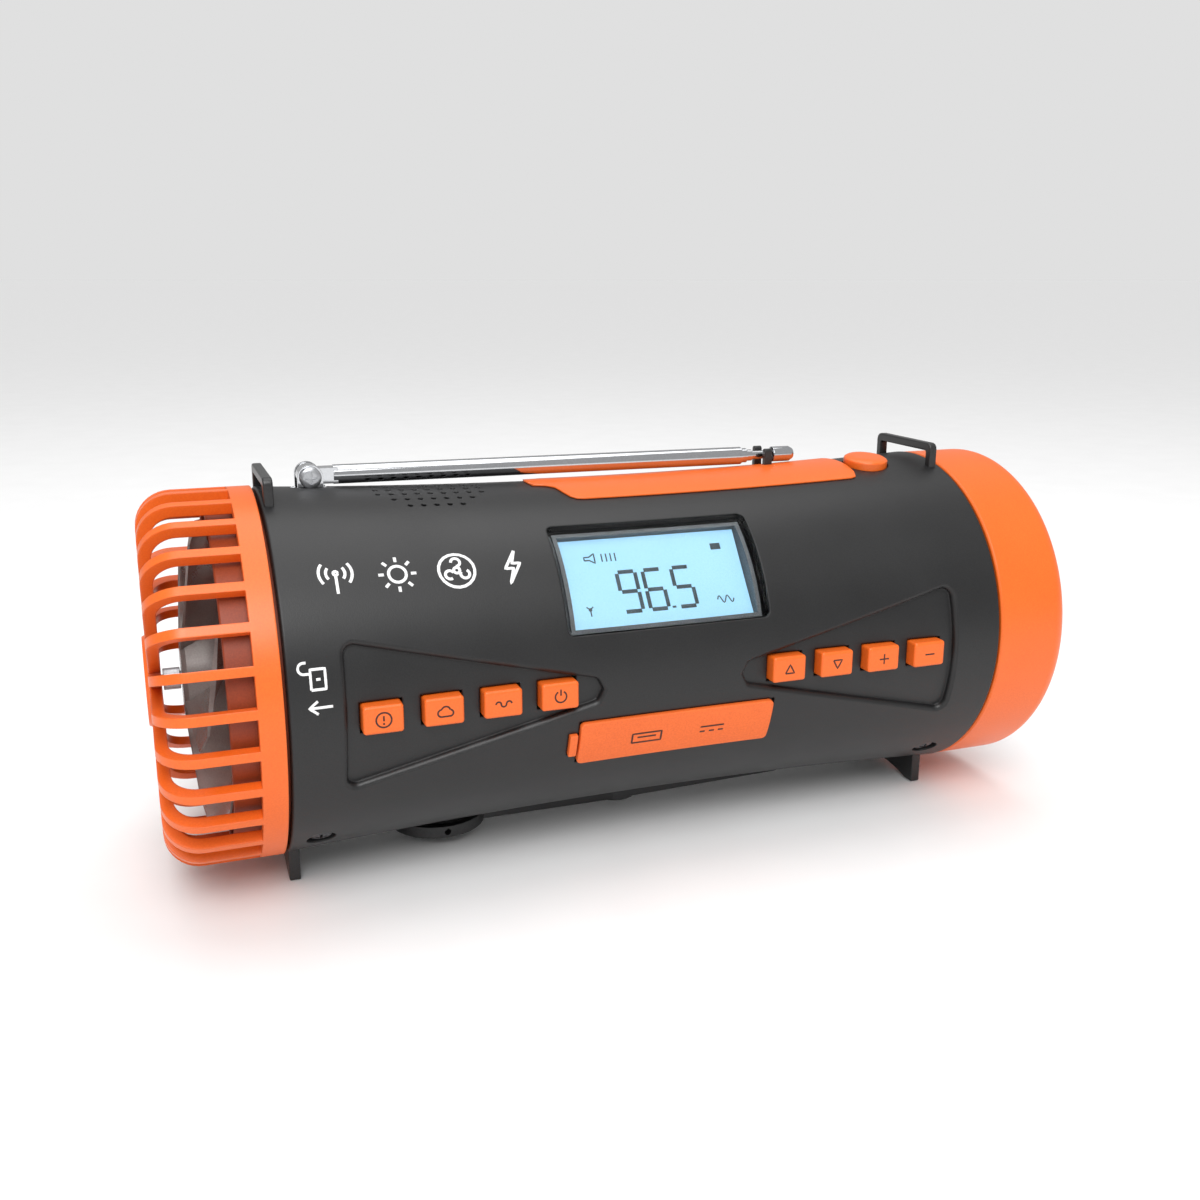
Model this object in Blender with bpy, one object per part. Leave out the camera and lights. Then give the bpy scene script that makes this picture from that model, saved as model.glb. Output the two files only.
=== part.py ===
"""Cylindrical emergency radio with a fan at one end and a torch at the other.

Lengths are metres. The model is laid out in the radio's own frame: x runs along
the barrel from the fan end of the body, y points to the back and z points up,
with the barrel's axis at y = z = 0. The empty "radio_frame" then stands the
radio on its feet, centred over the origin. Angles round the barrel are measured
in degrees from the front (-y), positive towards the top.
"""
import math

import bmesh
import bpy
from mathutils import Matrix, Vector

# ------------------------------------------------------------------ driving sizes
GAP = 0.0003                    # clearance between pieces that seat on each other

BODY_LENGTH = 0.1737
BODY_END_RADIUS = 0.0424
BODY_WAIST_RADIUS = 0.0400
SHELL_WALL = 0.0026
COVER_PLANE = 0.0151            # the rear cover starts this far behind the axis
END_CHAMFER = 0.0004
BARREL_FACETS = 52

GUARD_RADIUS = BODY_END_RADIUS + 0.00035
GUARD_REACH = 0.0260            # body end to the flat face of the guard
GUARD_SEAM = 0.0008
GUARD_BAND = 0.0060
GUARD_WALL = 0.0026
GUARD_CORNER = 0.0080
GUARD_BARS = 30
GUARD_BAR_WIDTH = 0.0021
GUARD_BAR_PHASE = 5.1           # degrees
GUARD_HUB_RADIUS = 0.0105
GUARD_HUB_RISE = 0.0008

SPIGOT_WALL = 0.0026
BULKHEAD_FACE = 0.0045          # front of the bulkhead ahead of the body end
BULKHEAD_PLATE = 0.0020
BULKHEAD_DEPTH = 0.0100
BULKHEAD_RIM = 0.0070           # collar round the fan ahead of the bulkhead's face
BULKHEAD_RIM_WALL = 0.0016
FAN_FRONT = GUARD_REACH - 0.0070
FAN_BACK = BULKHEAD_FACE + 0.0040
FAN_RADIUS = BODY_END_RADIUS - 0.0067
FAN_HUB_RADIUS = 0.0105
FAN_BLADES = 5
FAN_BLADE_THICKNESS = 0.0012
FAN_BLADE_SWEEP = 44.0          # degrees that a blade covers round the axis
FAN_SHAFT_RADIUS = 0.0015
FAN_NOSE_RADIUS = 0.0025
FAN_NOSE_END = GUARD_REACH - 0.0030
FAN_MOTOR_RADIUS = 0.0120
FAN_MOTOR_LENGTH = 0.0200

TORCH_RADIUS = BODY_END_RADIUS - 0.0001
TORCH_LENGTH = 0.0217
TORCH_SEAM = 0.0006
TORCH_CORNER = 0.0045
TORCH_SPIGOT = 0.0110
TORCH_MOUTH_RIM = 0.00226       # bezel's mouth inside the bore of its spigot
TORCH_LIP = 0.0026
LENS_THICKNESS = 0.0020
REFLECTOR_WALL = 0.0014
REFLECTOR_THROAT = 0.0046
REFLECTOR_BACK = 0.0030
LED_BOARD_RADIUS = 0.0090

WINDOW_CENTRE = 0.0862
WINDOW_LENGTH = 0.0498
WINDOW_ANGLE = 37.2
WINDOW_HALF_ANGLE = 19.7
WINDOW_THICKNESS = 0.0015
WINDOW_CORNER = 0.0016
DISPLAY_ANGLE = 36.5
DISPLAY_LENGTH = 0.0446
DISPLAY_HEIGHT = 0.0218
DISPLAY_DEPTH = 0.0048          # display face below the crown of the window
DISPLAY_THICKNESS = 0.0032
FRAME_WALL = 0.0010

RECESS_DEPTH = 0.0016
RECESS_CORNER = 0.0030
LEFT_RECESS = ((0.0125, 22.0), (0.0121, -23.0), (0.0694, -0.7))
RIGHT_RECESS = ((0.1602, 21.4), (0.1611, -23.8), (0.1030, -0.8))

KEY_LENGTH = 0.0086
KEY_HEIGHT = 0.0062
KEY_RISE = 0.0013               # key face above the barrel's surface
KEY_ANGLE = -0.5
KEY_STEM_END = 0.0265           # inner end of a key, from the barrel's axis
KEY_FLANGE = 0.0010
KEY_SEAT = 0.0008               # flange below the shell's inner face at rest
LEFT_KEYS_START = 0.0191
LEFT_KEYS_PITCH = 0.01307
RIGHT_KEYS_START = 0.1151
RIGHT_KEYS_PITCH = 0.01264

FLAP_START = 0.0634
FLAP_END = 0.1121
FLAP_ANGLE = -19.35
FLAP_HALF_ANGLE = 8.15
FLAP_RISE = 0.0010
FLAP_THICKNESS = 0.0016
FLAP_RECESS = 0.0009
FLAP_CORNER = 0.0012
ANCHOR_LENGTH = 0.0019
ANCHOR_HALF_ANGLE = 4.2

PORT_HEIGHT = -0.0133
PORT_MOUTH = 0.0350             # mouth of the sockets ahead of the axis
USB_CENTRE = 0.0780
USB_SHELL = (0.0146, 0.0066)
USB_CAVITY = (0.0125, 0.0051)
USB_DEPTH = 0.0100
USB_TONGUE = (0.0112, 0.0018)
DC_CENTRE = 0.0985
DC_BODY = (0.0092, 0.0076)
DC_BORE = 0.00275
DC_PIN = 0.0010
DC_DEPTH = 0.0090

BOARD_BACK = 0.0204             # back of the main board ahead of the axis
BOARD_THICKNESS = 0.0016
BOARD_MARGIN = 0.0140
BOARD_BOTTOM = -0.0260
BOARD_TOP = 0.0050

SPEAKER_CENTRE = 0.0386
SPEAKER_RADIUS = 0.0140
SPEAKER_TOP = BODY_WAIST_RADIUS - SHELL_WALL - 0.0024
SPEAKER_DEPTH = 0.0122
GRILLE_ROWS = (5, 7, 9, 9, 9, 9, 9, 7, 5)
GRILLE_PITCH = 0.00305
GRILLE_ANGLE_PITCH = 4.6
GRILLE_HOLE_RADIUS = 0.00065

PANEL_RISE = 0.0005
PANEL_INSET = 0.0009
PANEL_START = 0.0637
PANEL_TONGUE = 0.0050
PANEL_END = 0.1493
PANEL_HALF_ANGLE = 19.6
PANEL_TONGUE_HALF_ANGLE = 6.0

TORCH_BUTTON_CENTRE = 0.1554
TORCH_BUTTON_ANGLE = 82.6
TORCH_BUTTON_RADIUS = 0.0057
TORCH_BUTTON_RISE = 0.0021
TORCH_BUTTON_FLANGE = 0.0008

LOOP_LEFT = 0.0006
LOOP_RIGHT = 0.1703
LOOP_THICKNESS = 0.0022
LOOP_HALF_WIDTH = 0.0126
LOOP_TOP = BODY_END_RADIUS + 0.0042   # crown of a loop above the axis
LOOP_BAR = 0.0021
LOOP_CORNER = 0.0016
LOOP_ROOT = BODY_END_RADIUS - SHELL_WALL

FOOT_THICKNESS = 0.0026
FOOT_HALF_WIDTH = 0.0145
FOOT_DEPTH = BODY_END_RADIUS + 0.0052  # soles below the axis
FOOT_ARCH = 0.0018
FOOT_PAD = 0.0030               # flat sole at each end of a foot
FOOT_ROOT_WALL = 0.0010

SCREW_ANGLES = {"front": -49.5, "rear_upper": 130.5, "rear_lower": -130.5}
SCREW_LEFT = 0.0068
SCREW_RIGHT_INSET = 0.0091
SCREW_HEAD_RADIUS = 0.0024
SCREW_HEAD_HEIGHT = 0.0010
SCREW_SHANK_RADIUS = 0.0011
SCREW_LENGTH = 0.0050
SCREW_WELL_RADIUS = 0.00285
SCREW_WELL_DEPTH = 0.0014

ANTENNA_PIVOT = (0.01265, 0.00546, BODY_END_RADIUS + 0.00157)
ANTENNA_DROOP = 0.36            # degrees that the folded rod leans down
ANTENNA_TUBE_RADIUS = 0.0023
ANTENNA_STEP = 0.0004
ANTENNA_WALL = 0.00025
ANTENNA_TUBE_START = 0.0056
ANTENNA_TUBE_END = 0.1113
ANTENNA_BORE_START = 0.0150
ANTENNA_SECTION_SHOW = 0.0016
ANTENNA_TIP_START = 0.1206
ANTENNA_TIP_LENGTH = 0.0060
ANTENNA_TIP_RADIUS = 0.0020
ANTENNA_EYE_RADIUS = 0.00275
ANTENNA_EYE_HALF = 0.0020
ANTENNA_PIN_RADIUS = 0.0012
PIVOT_HEAD_RADIUS = 0.0025
BRACKET_EAR = 0.0011
BRACKET_EAR_RADIUS = 0.0029
BRACKET_LENGTH = 0.0082
BRACKET_TOP = ANTENNA_PIVOT[2] - 0.00287
BRACKET_BOTTOM = BRACKET_TOP - 0.0013
CLIP_PLACE = 0.1306
CLIP_LENGTH = 0.0021
CLIP_PRONG = 0.0016
CLIP_MOUTH = 0.0042
CLIP_TOP = ANTENNA_PIVOT[2] + 0.00123
CLIP_BOTTOM = BODY_WAIST_RADIUS - SHELL_WALL
CLIP_FLOOR = BODY_WAIST_RADIUS - 0.0006

CRANK_PLACE = 0.08685
KNOB_PLACE = 0.03906
CRANK_TAIL = 0.0490             # crank axis to the end of the arm's tail
CRANK_CLEAR = 0.00007           # arm below the skin beside the finger cup
CRANK_THICKNESS = 0.0025
CRANK_HALF_WIDTH = 0.0050
CRANK_TAIL_HALF_WIDTH = 0.0027
CRANK_HUB_RADIUS = 0.0056
KNOB_RING_RADIUS = 0.0118
KNOB_RING_DROP = 0.0004
KNOB_RADIUS = 0.0084
KNOB_FLANGE = 0.0009
KNOB_LEDGE = 0.0009
KNOB_DISH = 0.0010
CRANK_SHAFT_RADIUS = 0.0035
CRANK_SCREW_RADIUS = 0.0015
CRANK_SCREW_HEAD = 0.0034
CRANK_SCREW_SINK = 0.0012
BUSH_WALL = 0.0016
BUSH_FLANGE = 0.0021

GEAR_MODULE = 0.0009
CRANK_TEETH = 36
PINION_TEETH = 10
IDLER_TEETH = 30
GEAR_FACE = 0.0030
GEAR_FLOOR = 0.0300             # underside of the crank gear below the axis
GEAR_DECK_STEP = 0.0006
GEAR_STUB_RADIUS = 0.0016
CAGE_PLATE = 0.0014
CAGE_CLEAR = 0.0010
CAGE_WALL = 0.0012
CAGE_HALF_WIDTH = 0.0192
GENERATOR_RADIUS = 0.0110
GENERATOR_HEIGHT = 0.0175

CELL_RADIUS = 0.0092
CELL_LENGTH = 0.0650
CELL_START = 0.0450
CELL_BACK = 0.0140
CELL_HEIGHTS = {"upper": 0.0120, "lower": -0.0080}
TRAY_FRONT = 0.0030
TRAY_WALL = 0.0015

# ------------------------------------------------------------------ materials
FINISHES = {
    "charcoal_plastic": ((0.040, 0.040, 0.043), 0.62, 0.0),
    "orange_plastic": ((0.93, 0.20, 0.035), 0.42, 0.0),
    "orange_rubber": ((0.78, 0.14, 0.025), 0.70, 0.0),
    "black_plastic": ((0.022, 0.022, 0.023), 0.45, 0.0),
    "smoke_plastic": ((0.22, 0.20, 0.19), 0.35, 0.0),
    "clear_plastic": ((0.85, 0.90, 0.92), 0.08, 0.0),
    "grey_plastic": ((0.18, 0.18, 0.19), 0.55, 0.0),
    "display_glass": ((0.52, 0.80, 0.92), 0.25, 0.0),
    "circuit_board": ((0.02, 0.16, 0.07), 0.55, 0.0),
    "chrome": ((0.80, 0.81, 0.83), 0.10, 1.0),
    "steel": ((0.55, 0.56, 0.58), 0.35, 1.0),
    "white_nylon": ((0.80, 0.79, 0.75), 0.50, 0.0),
    "bronze": ((0.55, 0.36, 0.16), 0.40, 1.0),
    "cell_wrap": ((0.05, 0.18, 0.45), 0.40, 0.0),
    "mirror_plastic": ((0.86, 0.87, 0.88), 0.08, 1.0),
    "led_yellow": ((0.90, 0.80, 0.25), 0.35, 0.0),
    "speaker_black": ((0.03, 0.03, 0.03), 0.60, 0.0),
}


def make_material(slot):
    """Return the material of a finish, made once."""
    material = bpy.data.materials.get(slot)
    if material is None:
        colour, roughness, metallic = FINISHES[slot]
        material = bpy.data.materials.new(slot)
        material.use_nodes = True
        shader = material.node_tree.nodes["Principled BSDF"]
        shader.inputs["Base Color"].default_value = (*colour, 1.0)
        shader.inputs["Roughness"].default_value = roughness
        shader.inputs["Metallic"].default_value = metallic
    return material


# ------------------------------------------------------------------ shape helpers
def barrel_radius(x):
    """Outer radius of the waisted barrel at x."""
    half = BODY_LENGTH / 2
    flare = BODY_END_RADIUS - BODY_WAIST_RADIUS
    return BODY_WAIST_RADIUS + flare * ((x - half) / half) ** 2


CRANK_TOP = barrel_radius(KNOB_PLACE - KNOB_RING_RADIUS) + CRANK_CLEAR
CRANK_SHAFT_END = CRANK_TOP - GAP


def barrel_point(x, angle, radius):
    """Point at an angle round the barrel's axis."""
    turn = math.radians(angle)
    return Vector((x, -radius * math.cos(turn), radius * math.sin(turn)))


def barrel_frame(x, angle, radius=0.0):
    """Frame whose first axis is +x, second runs up the skin and third points out."""
    turn = math.radians(angle)
    up = Vector((0, math.sin(turn), math.cos(turn)))
    out = Vector((0, -math.cos(turn), math.sin(turn)))
    frame = Matrix.Identity(4)
    for column, axis in enumerate((Vector((1, 0, 0)), up, out)):
        for row in range(3):
            frame[row][column] = axis[row]
    return Matrix.Translation(barrel_point(x, angle, radius)) @ frame


FACE_FRONT = Matrix(((1, 0, 0, 0), (0, 0, -1, 0), (0, 1, 0, 0), (0, 0, 0, 1)))
FACE_END = Matrix(((0, 0, 1, 0), (1, 0, 0, 0), (0, 1, 0, 0), (0, 0, 0, 1)))


def rounded(corners, radius, steps=3):
    """Round every corner of a polygon with an arc of the radius."""
    outline = []
    count = len(corners)
    for index, corner in enumerate(corners):
        here = Vector(corner)
        before = (Vector(corners[index - 1]) - here).normalized()
        after = (Vector(corners[(index + 1) % count]) - here).normalized()
        half = math.acos(max(-1.0, min(1.0, before.dot(after)))) / 2
        middle = (before + after).normalized()
        centre = here + middle * (radius / math.sin(half))
        first = here + before * (radius / math.tan(half)) - centre
        last = here + after * (radius / math.tan(half)) - centre
        swing = first.angle_signed(last)
        for step in range(steps + 1):
            turned_by = Matrix.Rotation(-swing * step / steps, 2)
            outline.append(tuple(centre + turned_by @ first))
    return outline


def disc_outline(radius, sides, centre=(0.0, 0.0), start=0.0, sweep=360.0):
    """Points on a circle or, with a sweep under 360 degrees, on an arc."""
    closed = sweep >= 360.0
    parts = sides if closed else sides + 1
    angles = [math.radians(start + sweep * index / sides) for index in range(parts)]
    return [(centre[0] + radius * math.cos(a), centre[1] + radius * math.sin(a)) for a in angles]


def box_outline(width, height, centre=(0.0, 0.0)):
    """Corners of a rectangle."""
    across, up = width / 2, height / 2
    signs = ((-1, -1), (1, -1), (1, 1), (-1, 1))
    return [(centre[0] + a * across, centre[1] + b * up) for a, b in signs]


def append(mesh, part):
    """Move the geometry of one bmesh into another, as a body of its own."""
    bmesh.ops.recalc_face_normals(part, faces=part.faces[:])
    scratch = bpy.data.meshes.new("scratch")
    part.to_mesh(scratch)
    part.free()
    mesh.from_mesh(scratch)
    bpy.data.meshes.remove(scratch)


def add_prism(mesh, outline, low, high, frame=None):
    """Add the outline, extruded from low to high along the frame's third axis."""
    part = bmesh.new()
    face = part.faces.new([part.verts.new((u, v, low)) for u, v in outline])
    made = bmesh.ops.extrude_face_region(part, geom=[face])["geom"]
    top = [item for item in made if isinstance(item, bmesh.types.BMVert)]
    bmesh.ops.translate(part, verts=top, vec=(0, 0, high - low))
    bmesh.ops.transform(part, matrix=frame or Matrix.Identity(4), verts=part.verts[:])
    append(mesh, part)


def add_turned(mesh, outline, segments, frame=None):
    """Add a closed outline of (along, radius) points, spun about the frame's first axis."""
    part = bmesh.new()
    ring = [part.verts.new((along, 0, radius)) for along, radius in outline]
    edges = []
    for index, vert in enumerate(ring):
        following = (index + 1) % len(ring)
        if outline[index][1] > 0 or outline[following][1] > 0:
            edges.append(part.edges.new((vert, ring[following])))
    bmesh.ops.spin(part, geom=ring + edges, cent=(0, 0, 0), axis=(1, 0, 0), dvec=(0, 0, 0),
                   angle=2 * math.pi, steps=segments, use_merge=False, use_duplicate=False)
    bmesh.ops.remove_doubles(part, verts=part.verts[:], dist=2e-6)
    bmesh.ops.transform(part, matrix=frame or Matrix.Identity(4), verts=part.verts[:])
    append(mesh, part)


def add_skin(mesh, outline, low, high, grid=(0.0150, 5.0)):
    """Add a plate that follows the barrel, from an outline of (x, angle) points.

    The plate lies between two distances from the barrel's outer surface. It is
    cut along a grid of lengths and angles so that it bends with the barrel.
    """
    part = bmesh.new()
    part.faces.new([part.verts.new((x, angle, 0)) for x, angle in outline])
    for axis, pitch in enumerate(grid):
        values = [point[axis] for point in outline]
        line = math.floor(min(values) / pitch + 1) * pitch
        while line < max(values) - 1e-6:
            normal = (1, 0, 0) if axis == 0 else (0, 1, 0)
            place = (line, 0, 0) if axis == 0 else (0, line, 0)
            pieces = part.verts[:] + part.edges[:] + part.faces[:]
            bmesh.ops.bisect_plane(part, geom=pieces, plane_co=place, plane_no=normal, dist=1e-7)
            line += pitch
    bmesh.ops.triangulate(part, faces=part.faces[:])
    made = bmesh.ops.extrude_face_region(part, geom=part.faces[:])["geom"]
    top = {item for item in made if isinstance(item, bmesh.types.BMVert)}
    for vert in part.verts:
        offset = high if vert in top else low
        vert.co = barrel_point(vert.co.x, vert.co.y, barrel_radius(vert.co.x) + offset)
    append(mesh, part)


def skin_outline(corners, radius, steps=3):
    """Round an outline of (x, angle) corners with a radius measured on the skin."""
    per_degree = BODY_WAIST_RADIUS * math.pi / 180
    flat = [(x, angle * per_degree) for x, angle in corners]
    return [(x, s / per_degree) for x, s in rounded(flat, radius, steps)]


def grown(corners, margin):
    """Grow an outline of (x, angle) corners outwards by a margin measured on the skin."""
    per_degree = BODY_WAIST_RADIUS * math.pi / 180
    flat = [Vector((x, angle * per_degree)) for x, angle in corners]
    area = sum(a.x * b.y - b.x * a.y for a, b in zip(flat, flat[1:] + flat[:1]))
    side = 1.0 if area > 0 else -1.0
    result = []
    for index, here in enumerate(flat):
        into = (here - flat[index - 1]).normalized()
        away = (flat[(index + 1) % len(flat)] - here).normalized()
        first = Vector((into.y, -into.x)) * side
        second = Vector((away.y, -away.x)) * side
        shift = (first + second) / (1 + first.dot(second)) * margin
        result.append((here.x + shift.x, (here.y + shift.y) / per_degree))
    return result


FRAME_EMPTY = "radio_frame"


def finish(name, mesh, slot, origin=(0, 0, 0), parent=None):
    """Turn a bmesh into a node whose origin is moved to the given point."""
    bmesh.ops.recalc_face_normals(mesh, faces=mesh.faces[:])
    bmesh.ops.translate(mesh, verts=mesh.verts[:], vec=-Vector(origin))
    data = bpy.data.meshes.new(name)
    mesh.to_mesh(data)
    mesh.free()
    data.shade_smooth()
    data.set_sharp_from_angle(angle=math.radians(35))
    node = bpy.data.objects.new(name, data)
    bpy.context.scene.collection.objects.link(node)
    data.materials.append(make_material(slot))
    node.parent = parent or bpy.data.objects[FRAME_EMPTY]
    node.location = origin
    return node


def cutter(name, mesh, parent=None):
    """Turn a bmesh into a hidden tool for Boolean modifiers."""
    tool = finish(name, mesh, "steel", parent=parent)
    tool.hide_render = True
    tool.display_type = "WIRE"
    return tool


def combine(node, tool, operation="DIFFERENCE"):
    """Cut a node with a hidden tool, or join the tool to it."""
    modifier = node.modifiers.new(tool.name, "BOOLEAN")
    modifier.operation = operation
    modifier.solver = "EXACT"
    modifier.object = tool


def add_box(mesh, size, centre, frame=None):
    """Add a box of the given size about a centre."""
    outline = box_outline(size[0], size[1], centre[:2])
    add_prism(mesh, outline, centre[2] - size[2] / 2, centre[2] + size[2] / 2, frame)


def along_z(place, height=0.0):
    """Frame whose first axis points up from a place under the barrel's crown line."""
    return Matrix.Translation((place[0], place[1], height)) @ Matrix.Rotation(math.radians(-90), 4, "Y")


# ------------------------------------------------------------------ shared places
INNER_END_RADIUS = BODY_END_RADIUS - SHELL_WALL
DEEPEST_SPIGOT = max(BULKHEAD_DEPTH, TORCH_SPIGOT)
SPIGOT_SEAT = (barrel_radius(DEEPEST_SPIGOT) - SHELL_WALL) * math.cos(math.pi / BARREL_FACETS)
SPIGOT_RADIUS = SPIGOT_SEAT - GAP
SPIGOT_BORE = SPIGOT_RADIUS - SPIGOT_WALL
TORCH_MOUTH_RADIUS = SPIGOT_BORE - TORCH_MOUTH_RIM
SCREW_RIGHT = BODY_LENGTH - SCREW_RIGHT_INSET
KEYS = {
    "key_sos": LEFT_KEYS_START,
    "key_weather": LEFT_KEYS_START + LEFT_KEYS_PITCH,
    "key_band": LEFT_KEYS_START + 2 * LEFT_KEYS_PITCH,
    "key_power": LEFT_KEYS_START + 3 * LEFT_KEYS_PITCH,
    "key_tune_up": RIGHT_KEYS_START,
    "key_tune_down": RIGHT_KEYS_START + RIGHT_KEYS_PITCH,
    "key_volume_up": RIGHT_KEYS_START + 2 * RIGHT_KEYS_PITCH,
    "key_volume_down": RIGHT_KEYS_START + 3 * RIGHT_KEYS_PITCH,
}
GEAR_PITCH = GEAR_MODULE / 2
IDLER_PLACE = CRANK_PLACE + (CRANK_TEETH + PINION_TEETH) * GEAR_PITCH
GENERATOR_PLACE = IDLER_PLACE + (IDLER_TEETH + PINION_TEETH) * GEAR_PITCH
LOWER_DECK = -GEAR_FLOOR
UPPER_DECK = LOWER_DECK + GEAR_FACE + GEAR_DECK_STEP
CAGE_UNDERSIDE = UPPER_DECK + GEAR_FACE + CAGE_CLEAR
LENS_BACK = BODY_LENGTH + TORCH_LENGTH - TORCH_LIP - GAP - LENS_THICKNESS


def along_front(place):
    """Frame whose turning axis runs from the place towards the front."""
    return Matrix.Translation(place) @ Matrix.Rotation(math.radians(-90), 4, "Z")


def stand_radio():
    """Make the empty that stands the radio on its feet over the origin."""
    left = -(GUARD_REACH + GUARD_HUB_RISE)
    right = BODY_LENGTH + TORCH_LENGTH
    empty = bpy.data.objects.new(FRAME_EMPTY, None)
    bpy.context.scene.collection.objects.link(empty)
    empty.location = (-(left + right) / 2, 0, FOOT_DEPTH)


# ------------------------------------------------------------------ barrel
def barrel_tube():
    """Mesh of the whole barrel wall, before it is split into shell and cover."""
    steps = 7
    stations = [BODY_LENGTH * index / steps for index in range(steps + 1)]
    outer = [(x, barrel_radius(x)) for x in stations[1:-1]]
    inner = [(x, barrel_radius(x) - SHELL_WALL) for x in reversed(stations)]
    rim = BODY_END_RADIUS
    start = [(0, rim - END_CHAMFER), (END_CHAMFER, rim)]
    end = [(BODY_LENGTH - END_CHAMFER, rim), (BODY_LENGTH, rim - END_CHAMFER)]
    mesh = bmesh.new()
    facet_turn = Matrix.Rotation(math.radians(1.3), 4, "X")
    add_turned(mesh, start + outer + end + inner, BARREL_FACETS, facet_turn)
    return mesh


def half_space(name, low, high):
    """Cutter that fills the barrel's length between two depths."""
    mesh = bmesh.new()
    reach = BODY_END_RADIUS * 1.5
    add_box(mesh, (BODY_LENGTH * 1.2, high - low, 2 * reach), (BODY_LENGTH / 2, (low + high) / 2, 0))
    return cutter(name, mesh)


def window_corners():
    """Corners of the clear window, as (x, angle)."""
    low, high = WINDOW_ANGLE - WINDOW_HALF_ANGLE, WINDOW_ANGLE + WINDOW_HALF_ANGLE
    left, right = WINDOW_CENTRE - WINDOW_LENGTH / 2, WINDOW_CENTRE + WINDOW_LENGTH / 2
    return [(left, low), (right, low), (right, high), (left, high)]


def flap_corners():
    """Corners of the port flap, as (x, angle)."""
    low, high = FLAP_ANGLE - FLAP_HALF_ANGLE, FLAP_ANGLE + FLAP_HALF_ANGLE
    return [(FLAP_START, low), (FLAP_END, low), (FLAP_END, high), (FLAP_START, high)]


def anchor_corners():
    """Corners of the flap's fixed tab, as (x, angle)."""
    low, high = FLAP_ANGLE - ANCHOR_HALF_ANGLE, FLAP_ANGLE + ANCHOR_HALF_ANGLE
    right = FLAP_START - GAP
    left = right - ANCHOR_LENGTH
    return [(left, low), (right, low), (right, high), (left, high)]


def flap_pocket_outline():
    """Outline of the pocket that holds both the flap and its tab, as (x, angle)."""
    low_left, low_right, high_right, high_left = grown(flap_corners(), GAP)
    tab_low, _, _, tab_high = grown(anchor_corners(), GAP)
    tab = [(low_left[0], tab_high[1]), tab_high, tab_low, (low_left[0], tab_low[1])]
    return [low_left, low_right, high_right, high_left] + tab


def panel_corners():
    """Corners of the top panel, with its narrow tongue to the left."""
    shoulder = PANEL_START + PANEL_TONGUE
    low, high = 90 - PANEL_HALF_ANGLE, 90 + PANEL_HALF_ANGLE
    tongue_low, tongue_high = 90 - PANEL_TONGUE_HALF_ANGLE, 90 + PANEL_TONGUE_HALF_ANGLE
    return [(PANEL_START, tongue_low), (shoulder, tongue_low), (shoulder + PANEL_TONGUE, low),
            (PANEL_END, low), (PANEL_END, high), (shoulder + PANEL_TONGUE, high),
            (shoulder, tongue_high), (PANEL_START, tongue_high)]


def grille_places():
    """Places of the speaker holes, as (x, angle), in rows round the barrel."""
    middle = (len(GRILLE_ROWS) - 1) / 2
    for row, count in enumerate(GRILLE_ROWS):
        for column in range(count):
            x = SPEAKER_CENTRE + (column - (count - 1) / 2) * GRILLE_PITCH
            yield x, 90 + (row - middle) * GRILLE_ANGLE_PITCH


def screw_places(names):
    """Places of the case screws with the given names at both ends, as (x, angle)."""
    for name in names:
        for x in (SCREW_LEFT, SCREW_RIGHT):
            yield x, SCREW_ANGLES[name]


def loop_outline(margin=0.0):
    """Carrying loop seen from the end: a square arch with round shoulders."""
    across, crown = LOOP_HALF_WIDTH + margin, LOOP_TOP + margin
    inner, under = across - LOOP_BAR - 2 * margin, crown - LOOP_BAR - 2 * margin
    root = LOOP_ROOT - margin
    shoulder = [(-across, root), (-across, crown), (across, crown), (across, root)]
    shoulder = rounded(shoulder, LOOP_CORNER)
    arch = [(inner, root), (inner, under), (-inner, under), (-inner, root)]
    arch = rounded(arch, LOOP_CORNER / 3)
    corner = 4
    outer = [(-across, root)] + shoulder[corner:3 * corner] + [(across, root)]
    return outer + [(inner, root)] + arch[corner:3 * corner] + [(-inner, root)]


def foot_outline(margin=0.0):
    """Foot seen from the end: a plate under the barrel with an arched sole."""
    across, sole = FOOT_HALF_WIDTH + margin, -FOOT_DEPTH - margin
    pad = FOOT_PAD
    arch_half = across - pad
    arch = [(-arch_half + 2 * arch_half * k / 8, sole + FOOT_ARCH * math.sin(math.pi * k / 8))
            for k in range(9)]
    root = INNER_END_RADIUS + FOOT_ROOT_WALL - margin
    spread = math.degrees(math.asin(across / root))
    top = disc_outline(root, 8, start=-90 + spread, sweep=-2 * spread)
    return [(-across, sole)] + arch + [(across, sole)] + top


def front_shell():
    """Front, top and bottom of the barrel, with every opening and pocket."""
    shell = finish("front_shell", barrel_tube(), "charcoal_plastic")
    combine(shell, half_space("behind_shell", COVER_PLANE - GAP / 2, BODY_END_RADIUS * 1.2))

    pockets = bmesh.new()
    deep, proud = -RECESS_DEPTH, 0.0020
    add_skin(pockets, skin_outline(LEFT_RECESS, RECESS_CORNER), deep, proud)
    add_skin(pockets, skin_outline(RIGHT_RECESS, RECESS_CORNER), deep, proud)
    add_skin(pockets, flap_pocket_outline(), -FLAP_RECESS, proud)
    add_skin(pockets, skin_outline(grown(panel_corners(), GAP), 0.0020), -PANEL_INSET, proud)
    for x, angle in screw_places(["front"]):
        frame = barrel_frame(x, angle, barrel_radius(x))
        add_prism(pockets, disc_outline(SCREW_WELL_RADIUS, 20), -SCREW_WELL_DEPTH, proud, frame)
    combine(shell, cutter("shell_pockets", pockets))

    combine(shell, window_and_key_holes())
    combine(shell, fitting_holes())
    combine(shell, loop_foot_and_screw_pockets("shell_end_pockets"))


CUT_INSIDE = -SHELL_WALL - 0.0020
CUT_OUTSIDE = 0.0020


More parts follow.
